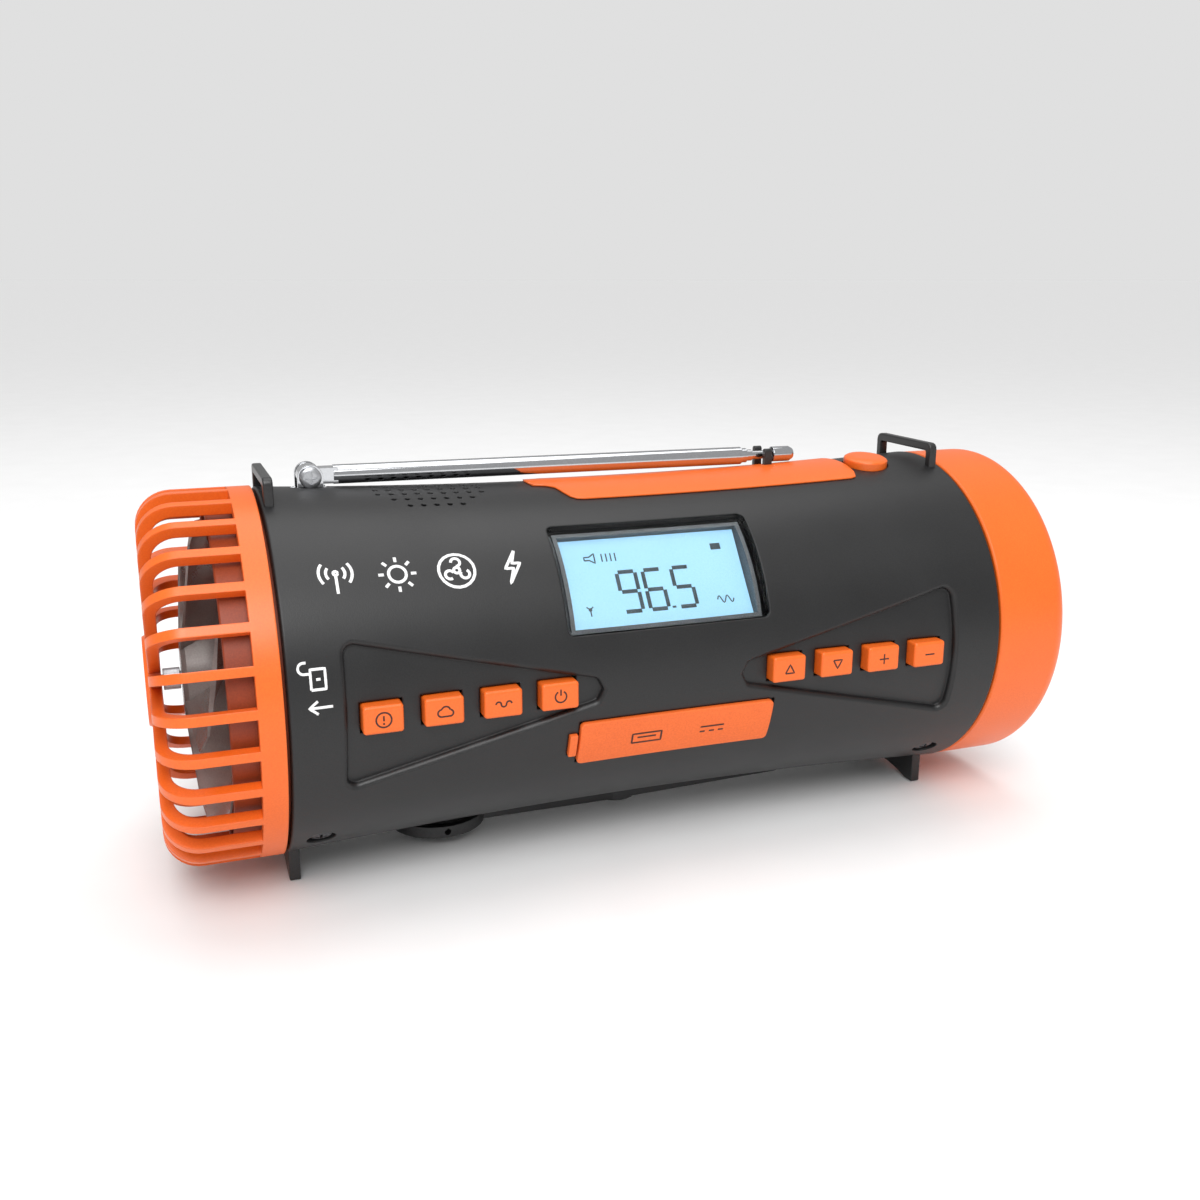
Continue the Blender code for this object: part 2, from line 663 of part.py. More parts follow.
def window_and_key_holes():
    """Cutter for the window opening, the eight key holes and both sockets."""
    mesh = bmesh.new()
    add_skin(mesh, skin_outline(grown(window_corners(), GAP), WINDOW_CORNER), CUT_INSIDE, CUT_OUTSIDE)
    for x in KEYS.values():
        frame = barrel_frame(x, KEY_ANGLE, barrel_radius(x))
        add_box(mesh, (KEY_LENGTH + 2 * GAP, KEY_HEIGHT + 2 * GAP, 0.0080), (0, 0, -0.0010), frame)
    for centre, (width, height) in ((USB_CENTRE, USB_SHELL), (DC_CENTRE, DC_BODY)):
        outline = box_outline(width + 2 * GAP, height + 2 * GAP, (centre, PORT_HEIGHT))
        add_prism(mesh, outline, PORT_MOUTH - 0.0050, PORT_MOUTH + 0.0060, FACE_FRONT)
    return cutter("window_and_key_holes", mesh)


def fitting_holes():
    """Cutter for the grille and for all that passes through the shell's wall."""
    mesh = bmesh.new()
    for x, angle in grille_places():
        frame = barrel_frame(x, angle, barrel_radius(x))
        add_prism(mesh, disc_outline(GRILLE_HOLE_RADIUS, 6, start=10), CUT_INSIDE, CUT_OUTSIDE, frame)
    for x, angle in screw_places(["front"]):
        frame = barrel_frame(x, angle, barrel_radius(x))
        add_prism(mesh, disc_outline(SCREW_SHANK_RADIUS + GAP, 12), CUT_INSIDE, CUT_OUTSIDE, frame)
    x = TORCH_BUTTON_CENTRE
    frame = barrel_frame(x, TORCH_BUTTON_ANGLE, barrel_radius(x))
    add_prism(mesh, disc_outline(TORCH_BUTTON_RADIUS + GAP, 24), CUT_INSIDE, CUT_OUTSIDE, frame)
    frame = Matrix.Translation((CRANK_PLACE, 0, -BODY_WAIST_RADIUS))
    bush = CRANK_SHAFT_RADIUS + GAP + BUSH_WALL + GAP
    add_prism(mesh, disc_outline(bush, 24), -0.0020, SHELL_WALL + 0.0030, frame)
    x, y, _ = ANTENNA_PIVOT
    block = (BRACKET_LENGTH + 2 * GAP, bracket_width() + 2 * GAP, 0.0120)
    add_box(mesh, block, (x, y, BRACKET_TOP - 0.0030))
    block = (CLIP_LENGTH + 2 * GAP, clip_width() + 2 * GAP, 0.0100)
    add_box(mesh, block, (CLIP_PLACE, y, CLIP_FLOOR))
    return cutter("fitting_holes", mesh)


def loop_foot_and_screw_pockets(name):
    """Cutter for the roots of the loops and feet and for the antenna screw's head."""
    mesh = bmesh.new()
    for left in (LOOP_LEFT, LOOP_RIGHT):
        add_prism(mesh, loop_outline(GAP), left - GAP, left + LOOP_THICKNESS + GAP, FACE_END)
        add_prism(mesh, foot_outline(GAP), left - GAP, left + FOOT_THICKNESS + GAP, FACE_END)
    x, y, z = ANTENNA_PIVOT
    near = bracket_width() / 2 - GAP
    facing = Matrix.Translation((0, y, 0)) @ FACE_FRONT
    add_prism(mesh, disc_outline(PIVOT_HEAD_RADIUS + GAP, 16, (x, z)), near, near + 0.0030, facing)
    return cutter(name, mesh)


def rear_cover():
    """Back of the barrel, held to both end spigots by four screws."""
    cover = finish("rear_cover", barrel_tube(), "charcoal_plastic")
    combine(cover, half_space("before_cover", -BODY_END_RADIUS * 1.2, COVER_PLANE + GAP / 2))
    names = ["rear_upper", "rear_lower"]
    wells, holes = bmesh.new(), bmesh.new()
    for x, angle in screw_places(names):
        frame = barrel_frame(x, angle, barrel_radius(x))
        add_prism(wells, disc_outline(SCREW_WELL_RADIUS, 20), -SCREW_WELL_DEPTH, 0.0020, frame)
        add_prism(holes, disc_outline(SCREW_SHANK_RADIUS + GAP, 12), -0.0060, 0.0020, frame)
    combine(cover, cutter("cover_wells", wells))
    combine(cover, cutter("cover_holes", holes))


def case_screws():
    """Six self-tapping screws that go through the barrel into the end spigots."""
    top = -SCREW_WELL_DEPTH + GAP
    outline = [(top - GAP / 2 - SCREW_LENGTH, 0), (top - SCREW_LENGTH, SCREW_SHANK_RADIUS),
               (top, SCREW_SHANK_RADIUS), (top, SCREW_HEAD_RADIUS),
               (top + SCREW_HEAD_HEIGHT / 2, SCREW_HEAD_RADIUS), (top + SCREW_HEAD_HEIGHT, 0)]
    turn_out = Matrix.Rotation(math.radians(-90), 4, "Y")
    for name in SCREW_ANGLES:
        for side, (x, angle) in zip(("left", "right"), screw_places([name])):
            mesh = bmesh.new()
            add_turned(mesh, outline, 10, barrel_frame(x, angle, barrel_radius(x)) @ turn_out)
            finish(f"{name}_screw_{side}", mesh, "steel", barrel_point(x, angle, barrel_radius(x)))


def top_panel():
    """Orange trim let into the crown of the barrel."""
    mesh = bmesh.new()
    seat = -PANEL_INSET + GAP
    add_skin(mesh, skin_outline(panel_corners(), 0.0020), seat, PANEL_RISE)
    panel = finish("top_panel", mesh, "orange_plastic")
    hole = bmesh.new()
    block = (CLIP_LENGTH + 2 * GAP, clip_width() + 2 * GAP, 0.0100)
    add_box(hole, block, (CLIP_PLACE, ANTENNA_PIVOT[1], CLIP_FLOOR))
    combine(panel, cutter("panel_clip_hole", hole))


def window_and_display():
    """Clear window, the frame behind it and the display module in the frame."""
    mesh = bmesh.new()
    add_skin(mesh, skin_outline(window_corners(), WINDOW_CORNER), -WINDOW_THICKNESS, 0.0, (0.0150, 3.5))
    finish("lcd_window", mesh, "clear_plastic")

    frame = barrel_frame(WINDOW_CENTRE, DISPLAY_ANGLE)
    face = BODY_WAIST_RADIUS - DISPLAY_DEPTH
    back = face - DISPLAY_THICKNESS
    length, height = DISPLAY_LENGTH + 2 * GAP, DISPLAY_HEIGHT + 2 * GAP
    mesh = bmesh.new()
    outer = box_outline(length + 2 * FRAME_WALL, height + 2 * FRAME_WALL)
    add_prism(mesh, outer, back, BODY_WAIST_RADIUS, frame)
    surround = finish("lcd_frame", mesh, "grey_plastic")
    mesh = bmesh.new()
    add_prism(mesh, box_outline(length, height), back - 0.0010, BODY_WAIST_RADIUS + 0.0010, frame)
    combine(surround, cutter("display_aperture", mesh))
    mesh = bmesh.new()
    stations = [WINDOW_CENTRE + WINDOW_LENGTH * (index / 6 - 0.5) for index in range(7)]
    under = [(x, barrel_radius(x) - WINDOW_THICKNESS - GAP) for x in stations]
    add_turned(mesh, [(stations[0], 0)] + under + [(stations[-1], 0)], 60)
    combine(surround, cutter("under_window", mesh), "INTERSECT")

    mesh = bmesh.new()
    add_prism(mesh, box_outline(DISPLAY_LENGTH, DISPLAY_HEIGHT), back, face, frame)
    finish("lcd_panel", mesh, "display_glass")


# ------------------------------------------------------------------ keys and buttons
def front_keys():
    """Eight sprung keys, each with a flange that keeps it behind the shell."""
    for name, x in KEYS.items():
        radius = barrel_radius(x)
        frame = barrel_frame(x, KEY_ANGLE)
        mesh = bmesh.new()
        outline = rounded(box_outline(KEY_LENGTH, KEY_HEIGHT), 0.0009, 2)
        add_prism(mesh, outline, KEY_STEM_END, radius + KEY_RISE, frame)
        key = finish(name, mesh, "orange_plastic", barrel_point(x, KEY_ANGLE, radius))
        mesh = bmesh.new()
        reach = KEY_LENGTH / 2 + KEY_FLANGE
        narrowest = min(barrel_radius(x - reach), barrel_radius(x + reach), radius)
        seat = narrowest - SHELL_WALL - KEY_SEAT
        outline = box_outline(KEY_LENGTH + 2 * KEY_FLANGE, KEY_HEIGHT + 2 * KEY_FLANGE)
        add_prism(mesh, outline, seat - KEY_FLANGE, seat, frame)
        combine(key, cutter(f"{name}_flange", mesh), "UNION")


def torch_button():
    """Round sprung button that works the torch and the fan."""
    x = TORCH_BUTTON_CENTRE
    radius = barrel_radius(x)
    wide = TORCH_BUTTON_RADIUS + TORCH_BUTTON_FLANGE
    slope = radius - min(barrel_radius(x - wide), barrel_radius(x + wide))
    inner = -SHELL_WALL - TORCH_BUTTON_FLANGE - slope
    rise, body = TORCH_BUTTON_RISE, TORCH_BUTTON_RADIUS
    outline = [(inner - 0.0030, 0), (inner - 0.0030, body), (inner - TORCH_BUTTON_FLANGE, body),
               (inner - TORCH_BUTTON_FLANGE, wide), (inner, wide), (inner, body),
               (rise * 0.65, body), (rise * 0.88, body * 0.86), (rise, body * 0.55), (rise, 0)]
    frame = barrel_frame(x, TORCH_BUTTON_ANGLE, radius) @ Matrix.Rotation(math.radians(-90), 4, "Y")
    mesh = bmesh.new()
    add_turned(mesh, outline, 24, frame)
    finish("torch_button", mesh, "orange_plastic", barrel_point(x, TORCH_BUTTON_ANGLE, radius))


# ------------------------------------------------------------------ ports
def port_flap():
    """Rubber flap over the sockets and the fixed tab that it bends from."""
    mesh = bmesh.new()
    bottom = FLAP_RISE - FLAP_THICKNESS
    add_skin(mesh, skin_outline(flap_corners(), FLAP_CORNER), bottom, FLAP_RISE)
    place = FLAP_START - GAP / 2
    finish("port_flap", mesh, "orange_rubber",
           barrel_point(place, FLAP_ANGLE, barrel_radius(place) + FLAP_RISE))
    mesh = bmesh.new()
    add_skin(mesh, anchor_corners(), bottom, FLAP_RISE)
    finish("flap_anchor", mesh, "orange_rubber")


def sockets():
    """USB socket and round charging socket, both on the front of the main board."""
    base = BOARD_BACK + BOARD_THICKNESS + GAP
    out = PORT_MOUTH + 0.0010
    centre = (USB_CENTRE, PORT_HEIGHT)
    mesh = bmesh.new()
    add_prism(mesh, box_outline(*USB_SHELL, centre), base, PORT_MOUTH, FACE_FRONT)
    usb = finish("usb_socket", mesh, "steel")
    mesh = bmesh.new()
    add_prism(mesh, box_outline(*USB_CAVITY, centre), PORT_MOUTH - USB_DEPTH, out, FACE_FRONT)
    combine(usb, cutter("usb_cavity", mesh))
    mesh = bmesh.new()
    root = PORT_MOUTH - USB_DEPTH - 0.0005
    add_prism(mesh, box_outline(*USB_TONGUE, centre), root, PORT_MOUTH - 0.0010, FACE_FRONT)
    combine(usb, cutter("usb_tongue", mesh), "UNION")

    centre = (DC_CENTRE, PORT_HEIGHT)
    mesh = bmesh.new()
    add_prism(mesh, box_outline(*DC_BODY, centre), base, PORT_MOUTH, FACE_FRONT)
    jack = finish("dc_jack", mesh, "black_plastic")
    mesh = bmesh.new()
    deep = PORT_MOUTH - DC_DEPTH
    ring = [(deep, DC_PIN), (deep, DC_BORE), (out, DC_BORE), (out, DC_PIN)]
    add_turned(mesh, ring, 20, along_front((DC_CENTRE, 0, PORT_HEIGHT)))
    combine(jack, cutter("dc_bore", mesh))


def main_board():
    """Circuit board on edge behind the keys."""
    mesh = bmesh.new()
    length = BODY_LENGTH - 2 * BOARD_MARGIN
    height = BOARD_TOP - BOARD_BOTTOM
    centre = (BODY_LENGTH / 2, -(BOARD_BACK + BOARD_THICKNESS / 2), (BOARD_TOP + BOARD_BOTTOM) / 2)
    add_box(mesh, (length, BOARD_THICKNESS, height), centre)
    finish("main_board", mesh, "circuit_board")


def speaker():
    """Loudspeaker that faces up under the grille."""
    top, rim = SPEAKER_TOP, SPEAKER_RADIUS
    bottom = top - SPEAKER_DEPTH
    magnet, basket, cone, cap = rim * 0.64, rim * 0.86, rim * 0.84, rim * 0.30
    outline = [(bottom, 0), (bottom, magnet), (bottom + 0.0042, magnet), (top - 0.0030, basket),
               (top - 0.0016, rim), (top, rim), (top, cone), (top - 0.0034, cap), (top - 0.0026, 0)]
    mesh = bmesh.new()
    add_turned(mesh, outline, 24, along_z((SPEAKER_CENTRE, 0)))
    finish("speaker", mesh, "speaker_black")


def battery_pack():
    """Two lithium cells side by side in a cradle that opens to the rear cover."""
    for name, height in CELL_HEIGHTS.items():
        end = CELL_START + CELL_LENGTH
        nub = CELL_RADIUS * 0.32
        outline = [(CELL_START, 0), (CELL_START, CELL_RADIUS), (end - 0.0010, CELL_RADIUS),
                   (end - 0.0010, nub), (end, nub), (end, 0)]
        mesh = bmesh.new()
        add_turned(mesh, outline, 18, Matrix.Translation((0, CELL_BACK, height)))
        finish(f"battery_cell_{name}", mesh, "cell_wrap")
    top = max(CELL_HEIGHTS.values()) + CELL_RADIUS
    bottom = min(CELL_HEIGHTS.values()) - CELL_RADIUS
    depth = CELL_BACK - 0.0010 - TRAY_FRONT
    length = CELL_LENGTH + 2 * TRAY_WALL + 2 * GAP
    centre = (CELL_START + CELL_LENGTH / 2, TRAY_FRONT + depth / 2, (top + bottom) / 2)
    mesh = bmesh.new()
    add_box(mesh, (length, depth, top - bottom), centre)
    tray = finish("battery_tray", mesh, "black_plastic")
    mesh = bmesh.new()
    for height in CELL_HEIGHTS.values():
        low, high = CELL_START - GAP, CELL_START + CELL_LENGTH + GAP
        add_prism(mesh, disc_outline(CELL_RADIUS + GAP, 24, (CELL_BACK, height)), low, high, FACE_END)
    combine(tray, cutter("cell_cradles", mesh))


# ------------------------------------------------------------------ fan end
def fan_guard():
    """Basket of bent bars on a band, made as a dome with slots between the bars."""
    corner = GUARD_CORNER
    turn = -(GUARD_REACH - corner)
    sides = [math.radians(90 * step / 3) for step in range(4)]
    shoulder, throat, bend = GUARD_RADIUS - corner, GUARD_RADIUS - GUARD_WALL, corner - GUARD_WALL
    outer = [(turn - corner * math.sin(a), shoulder + corner * math.cos(a)) for a in sides]
    inner = [(turn - bend * math.sin(a), shoulder + bend * math.cos(a)) for a in sides]
    face = -GUARD_REACH
    hub = [(face, GUARD_HUB_RADIUS), (face - GUARD_HUB_RISE, GUARD_HUB_RADIUS - GUARD_HUB_RISE / 2),
           (face - GUARD_HUB_RISE, 0), (face + GUARD_WALL, 0)]
    band = [(-GUARD_SEAM, throat), (-GUARD_SEAM, GUARD_RADIUS)]
    mesh = bmesh.new()
    add_turned(mesh, band + outer + hub + inner[::-1], 52)
    guard = finish("fan_guard", mesh, "orange_plastic")

    slots = bmesh.new()
    pitch = 360 / GUARD_BARS
    start, end = GUARD_HUB_RADIUS * 1.24, GUARD_RADIUS * 1.1
    half = GUARD_BAR_WIDTH / 2
    for index in range(GUARD_BARS):
        outline = []
        for angle, side, order in ((index, 1, (start, end)), (index + 1, -1, (end, start))):
            turn = math.radians(GUARD_BAR_PHASE + angle * pitch)
            along = Vector((-math.cos(turn), math.sin(turn)))
            across = Vector((math.sin(turn), math.cos(turn))) * half * side
            outline += [tuple(along * reach + across) for reach in order]
        add_prism(slots, outline, -GUARD_REACH - 0.0020, -GUARD_BAND, FACE_END)
    combine(guard, cutter("guard_slots", slots))


def spigot_bores(name, x):
    """Cutter for the three screws that go into an end spigot at x."""
    mesh = bmesh.new()
    for angle in SCREW_ANGLES.values():
        frame = barrel_frame(x, angle, barrel_radius(x))
        add_prism(mesh, disc_outline(SCREW_SHANK_RADIUS + GAP, 12), -0.0090, 0.0010, frame)
    return cutter(name, mesh)


def fan_bulkhead():
    """Orange wall that closes the body behind the fan and carries its motor."""
    face, plate = -BULKHEAD_FACE, -BULKHEAD_FACE + BULKHEAD_PLATE
    hole = FAN_SHAFT_RADIUS + 2 * GAP
    rim, bore = face - BULKHEAD_RIM, SPIGOT_RADIUS - BULKHEAD_RIM_WALL
    outline = [(face, hole), (face, bore), (rim, bore), (rim, SPIGOT_RADIUS - GAP),
               (rim + GAP, SPIGOT_RADIUS), (BULKHEAD_DEPTH, SPIGOT_RADIUS), (BULKHEAD_DEPTH, SPIGOT_BORE),
               (plate, SPIGOT_BORE), (plate, hole)]
    mesh = bmesh.new()
    add_turned(mesh, outline, 44)
    bulkhead = finish("fan_bulkhead", mesh, "orange_plastic")
    combine(bulkhead, spigot_bores("bulkhead_bores", SCREW_LEFT))


def fan_drive():
    """Motor behind the bulkhead, its shaft, and the impeller on the shaft."""
    front = -BULKHEAD_FACE + BULKHEAD_PLATE + GAP
    bore = FAN_SHAFT_RADIUS + GAP
    back = front + FAN_MOTOR_LENGTH
    tail = back + 0.0018
    deep = front + FAN_MOTOR_LENGTH * 0.6
    boss = FAN_MOTOR_RADIUS * 0.4
    outline = [(front, bore), (front, FAN_MOTOR_RADIUS), (back, FAN_MOTOR_RADIUS),
               (back, boss), (tail, boss), (tail, 0), (deep, 0), (deep, bore)]
    mesh = bmesh.new()
    add_turned(mesh, outline, 24)
    finish("fan_motor", mesh, "steel")

    nose = -FAN_FRONT - GAP
    outline = [(-FAN_NOSE_END, 0), (-FAN_NOSE_END, FAN_NOSE_RADIUS), (nose, FAN_NOSE_RADIUS),
               (nose, FAN_SHAFT_RADIUS), (deep - GAP, FAN_SHAFT_RADIUS), (deep - GAP, 0)]
    mesh = bmesh.new()
    add_turned(mesh, outline, 20)
    finish("fan_shaft", mesh, "steel")

    edge = FAN_HUB_RADIUS
    outline = [(-FAN_FRONT, bore), (-FAN_FRONT, edge * 0.90), (-FAN_FRONT + edge * 0.1, edge),
               (-FAN_BACK, edge), (-FAN_BACK, bore)]
    mesh = bmesh.new()
    add_turned(mesh, outline, 30)
    impeller = finish("fan_impeller", mesh, "smoke_plastic")
    combine(impeller, fan_blades(), "UNION")


def fan_blades():
    """Twisted blades from the hub to the tip circle, one closed body each."""
    mesh = bmesh.new()
    across, along = 4, 4
    root = FAN_HUB_RADIUS * 0.92
    middle = -(FAN_FRONT + FAN_BACK) / 2
    depth = FAN_FRONT - FAN_BACK - 0.0006
    for blade in range(FAN_BLADES):
        part = bmesh.new()
        grids = []
        for side in (-0.5, 0.5):
            grid = []
            for i in range(along + 1):
                share = i / along
                radius = root + (FAN_RADIUS - root) * share
                narrow = 1 - 0.35 * max(0.0, share - 0.75) / 0.25
                twist = 1 - 0.45 * share
                row = []
                for j in range(across + 1):
                    chord = (j / across - 0.5) * narrow
                    spread = FAN_BLADE_SWEEP * (0.75 + 0.45 * share)
                    angle = 360 / FAN_BLADES * blade + chord * spread + 14 * share ** 2
                    thick = side * FAN_BLADE_THICKNESS * (1 - 0.6 * abs(2 * j / across - 1))
                    x = middle + chord * depth * twist + thick
                    row.append(part.verts.new(barrel_point(x, angle, radius)))
                grid.append(row)
            grids.append(grid)
        for grid in grids:
            for i in range(along):
                for j in range(across):
                    part.faces.new((grid[i][j], grid[i + 1][j], grid[i + 1][j + 1], grid[i][j + 1]))
        rims = [[[row[end] for row in grid] for grid in grids] for end in (0, across)]
        rims += [[grid[end] for grid in grids] for end in (0, along)]
        for first, second in rims:
            for k in range(len(first) - 1):
                part.faces.new((first[k], first[k + 1], second[k + 1], second[k]))
        bmesh.ops.triangulate(part, faces=part.faces[:])
        append(mesh, part)
    return cutter("fan_blades", mesh)


# ------------------------------------------------------------------ torch end
def torch_head():
    """Orange bezel with its spigot, the lens, the reflector and the LED."""
    end = BODY_LENGTH + TORCH_LENGTH
    corner = TORCH_CORNER
    sides = [math.radians(90 * step / 3) for step in range(4)]
    rim = [(end - corner * (1 - math.sin(a)), TORCH_RADIUS - corner * (1 - math.cos(a))) for a in sides]
    seat = BODY_LENGTH + TORCH_SEAM
    outline = [(BODY_LENGTH - TORCH_SPIGOT, SPIGOT_BORE), (BODY_LENGTH - TORCH_SPIGOT, SPIGOT_RADIUS),
               (seat, SPIGOT_RADIUS), (seat, TORCH_RADIUS)] + rim
    outline += [(end, TORCH_MOUTH_RADIUS + 0.0015), (end - TORCH_LIP, TORCH_MOUTH_RADIUS),
                (end - TORCH_LIP, SPIGOT_BORE)]
    mesh = bmesh.new()
    add_turned(mesh, outline, 42)
    bezel = finish("torch_bezel", mesh, "orange_plastic")
    combine(bezel, spigot_bores("bezel_bores", SCREW_RIGHT))

    lens = SPIGOT_BORE - GAP
    mesh = bmesh.new()
    add_turned(mesh, [(LENS_BACK, 0), (LENS_BACK, lens), (LENS_BACK + LENS_THICKNESS, lens),
                      (LENS_BACK + LENS_THICKNESS, 0)], 44)
    finish("torch_lens", mesh, "clear_plastic")

    front = LENS_BACK - GAP
    back = BODY_LENGTH + REFLECTOR_BACK
    mouth, throat = TORCH_MOUTH_RADIUS, REFLECTOR_THROAT
    steps = 4
    bowl = []
    for step in range(steps + 1):
        share = step / steps
        radius = throat + (mouth - throat) * share
        rise = (radius ** 2 - throat ** 2) / (mouth ** 2 - throat ** 2)
        bowl.append((back + (front - back) * rise, radius))
    outside = [(x - REFLECTOR_WALL, radius + REFLECTOR_WALL * 0.4) for x, radius in bowl[:-1]]
    flange = [(front - REFLECTOR_WALL, mouth), (front - REFLECTOR_WALL, lens), (front, lens)]
    mesh = bmesh.new()
    add_turned(mesh, outside + flange + bowl[::-1], 32)
    finish("torch_reflector", mesh, "mirror_plastic")

    base = back - REFLECTOR_WALL - GAP
    dome = throat - 2 * GAP
    mesh = bmesh.new()
    outline = [(base - 0.0016, 0), (base - 0.0016, LED_BOARD_RADIUS), (base, LED_BOARD_RADIUS),
               (base, dome), (base + dome * 0.7, dome * 0.8), (base + dome, 0)]
    add_turned(mesh, outline, 32)
    finish("torch_led", mesh, "led_yellow")


# ------------------------------------------------------------------ loops and feet
def loops_and_feet():
    """Carrying loop on top and foot below at each end of the barrel."""
    for side, left in (("left", LOOP_LEFT), ("right", LOOP_RIGHT)):
        mesh = bmesh.new()
        add_prism(mesh, loop_outline(), left, left + LOOP_THICKNESS, FACE_END)
        finish(f"strap_loop_{side}", mesh, "black_plastic")
        mesh = bmesh.new()
        add_prism(mesh, foot_outline(), left, left + FOOT_THICKNESS, FACE_END)
        finish(f"foot_{side}", mesh, "black_plastic")


# ------------------------------------------------------------------ antenna
def bracket_width():
    """Width of the antenna bracket across both ears."""
    return 2 * (ANTENNA_EYE_HALF + GAP + BRACKET_EAR)


def clip_width():
    """Width of the rod clip across both prongs."""
    return CLIP_MOUTH + 2 * CLIP_PRONG


def antenna_bracket():
    """Forked bracket for the rod, with its block let into the shell."""
    x, y, z = ANTENNA_PIVOT
    half = BRACKET_LENGTH / 2
    ear = BRACKET_EAR_RADIUS
    arc = disc_outline(ear, 12, (x, z), start=0, sweep=180)
    outline = [(x - half, BRACKET_BOTTOM), (x + half, BRACKET_BOTTOM), (x + half, BRACKET_TOP),
               (x + ear, BRACKET_TOP)] + arc + [(x - ear, BRACKET_TOP), (x - half, BRACKET_TOP)]
    facing = Matrix.Translation((0, y, 0)) @ FACE_FRONT
    mesh = bmesh.new()
    width = bracket_width() / 2
    add_prism(mesh, outline, -width, width, facing)
    bracket = finish("antenna_bracket", mesh, "chrome")
    mesh = bmesh.new()
    slot = ANTENNA_EYE_HALF + GAP
    floor = z - ANTENNA_EYE_RADIUS - GAP
    add_prism(mesh, box_outline(0.0200, 0.0100, (x, floor + 0.0050)), -slot, slot, facing)
    combine(bracket, cutter("bracket_fork", mesh))
    mesh = bmesh.new()
    hole, past = disc_outline(ANTENNA_PIN_RADIUS + GAP, 16, (x, z)), width + 0.0010
    add_prism(mesh, hole, -past, past, facing)
    combine(bracket, cutter("bracket_pin_hole", mesh))

    head, out = PIVOT_HEAD_RADIUS, width + GAP
    outline = [(-width, 0), (-width, ANTENNA_PIN_RADIUS), (out, ANTENNA_PIN_RADIUS), (out, head),
               (out + 0.0006, head), (out + 0.0011, head * 0.6), (out + 0.0011, 0)]
    mesh = bmesh.new()
    add_turned(mesh, outline, 20, along_front(ANTENNA_PIVOT))
    finish("antenna_pivot_screw", mesh, "steel", ANTENNA_PIVOT)


def antenna_clip():
    """Black fork that holds the folded rod."""
    y = ANTENNA_PIVOT[1]
    outer, inner = clip_width() / 2, CLIP_MOUTH / 2
    outline = [(y - outer, CLIP_BOTTOM), (y + outer, CLIP_BOTTOM)]
    for side in (1, -1):
        centre = (y + side * (outer + inner) / 2, CLIP_TOP - CLIP_PRONG / 2)
        outline += disc_outline(CLIP_PRONG / 2, 6, centre, start=0, sweep=180)
        if side == 1:
            outline += [(y + inner, CLIP_FLOOR), (y - inner, CLIP_FLOOR)]
    mesh = bmesh.new()
    low = CLIP_PLACE - CLIP_LENGTH / 2
    add_prism(mesh, outline, low, low + CLIP_LENGTH, FACE_END)
    finish("antenna_clip", mesh, "black_plastic")


def antenna_rod():
    """Tube with its eye on the bracket's screw, and the sections that slide out of it."""
    axis = bpy.data.objects.new("antenna_axis", None)
    bpy.context.scene.collection.objects.link(axis)
    axis.parent = bpy.data.objects[FRAME_EMPTY]
    axis.location = ANTENNA_PIVOT
    axis.rotation_euler = (0, math.radians(ANTENNA_DROOP), 0)

    outer, bore = ANTENNA_TUBE_RADIUS, ANTENNA_TUBE_RADIUS - ANTENNA_WALL
    outline = [(ANTENNA_TUBE_START, 0), (ANTENNA_TUBE_START, outer), (ANTENNA_TUBE_END, outer),
               (ANTENNA_TUBE_END, bore), (ANTENNA_BORE_START, bore), (ANTENNA_BORE_START, 0)]
    mesh = bmesh.new()
    add_turned(mesh, outline, 16)
    tube = finish("antenna_tube", mesh, "chrome", parent=axis)
    mesh = bmesh.new()
    eye, neck = ANTENNA_EYE_RADIUS, ANTENNA_TUBE_RADIUS * 0.8
    lean = math.degrees(math.asin(neck / eye))
    outline = disc_outline(eye, 20, start=lean, sweep=360 - 2 * lean)
    outline += [(ANTENNA_TUBE_START + 0.0010, -neck), (ANTENNA_TUBE_START + 0.0010, neck)]
    half = ANTENNA_EYE_HALF
    add_prism(mesh, outline, -half, half, FACE_FRONT)
    combine(tube, cutter("antenna_eye", mesh, axis), "UNION")
    mesh = bmesh.new()
    add_prism(mesh, disc_outline(ANTENNA_PIN_RADIUS + GAP, 16), -2 * half, 2 * half, FACE_FRONT)
    combine(tube, cutter("antenna_eye_hole", mesh, axis))

    end = ANTENNA_TUBE_END
    start = ANTENNA_BORE_START + GAP
    radius = outer
    for number in (1, 2, 3):
        radius -= ANTENNA_STEP
        end += ANTENNA_SECTION_SHOW
        mesh = bmesh.new()
        if number < 3:
            bore = radius - ANTENNA_WALL
            deep = start + 0.0060
            outline = [(start, 0), (start, radius), (end, radius), (end, bore), (deep, bore), (deep, 0)]
            start = deep + GAP
        else:
            last = ANTENNA_TIP_START - GAP
            outline = [(start, 0), (start, radius), (last, radius), (last, 0)]
        add_turned(mesh, outline, 16)
        finish(f"antenna_section_{number}", mesh, "chrome", parent=axis)
    tip, length = ANTENNA_TIP_RADIUS, ANTENNA_TIP_LENGTH
    first = ANTENNA_TIP_START
    outline = [(first, 0), (first, tip), (first + length * 0.82, tip), (first + length, tip * 0.72),
               (first + length, 0)]
    mesh = bmesh.new()
    add_turned(mesh, outline, 20)
    finish("antenna_tip", mesh, "chrome", parent=axis)


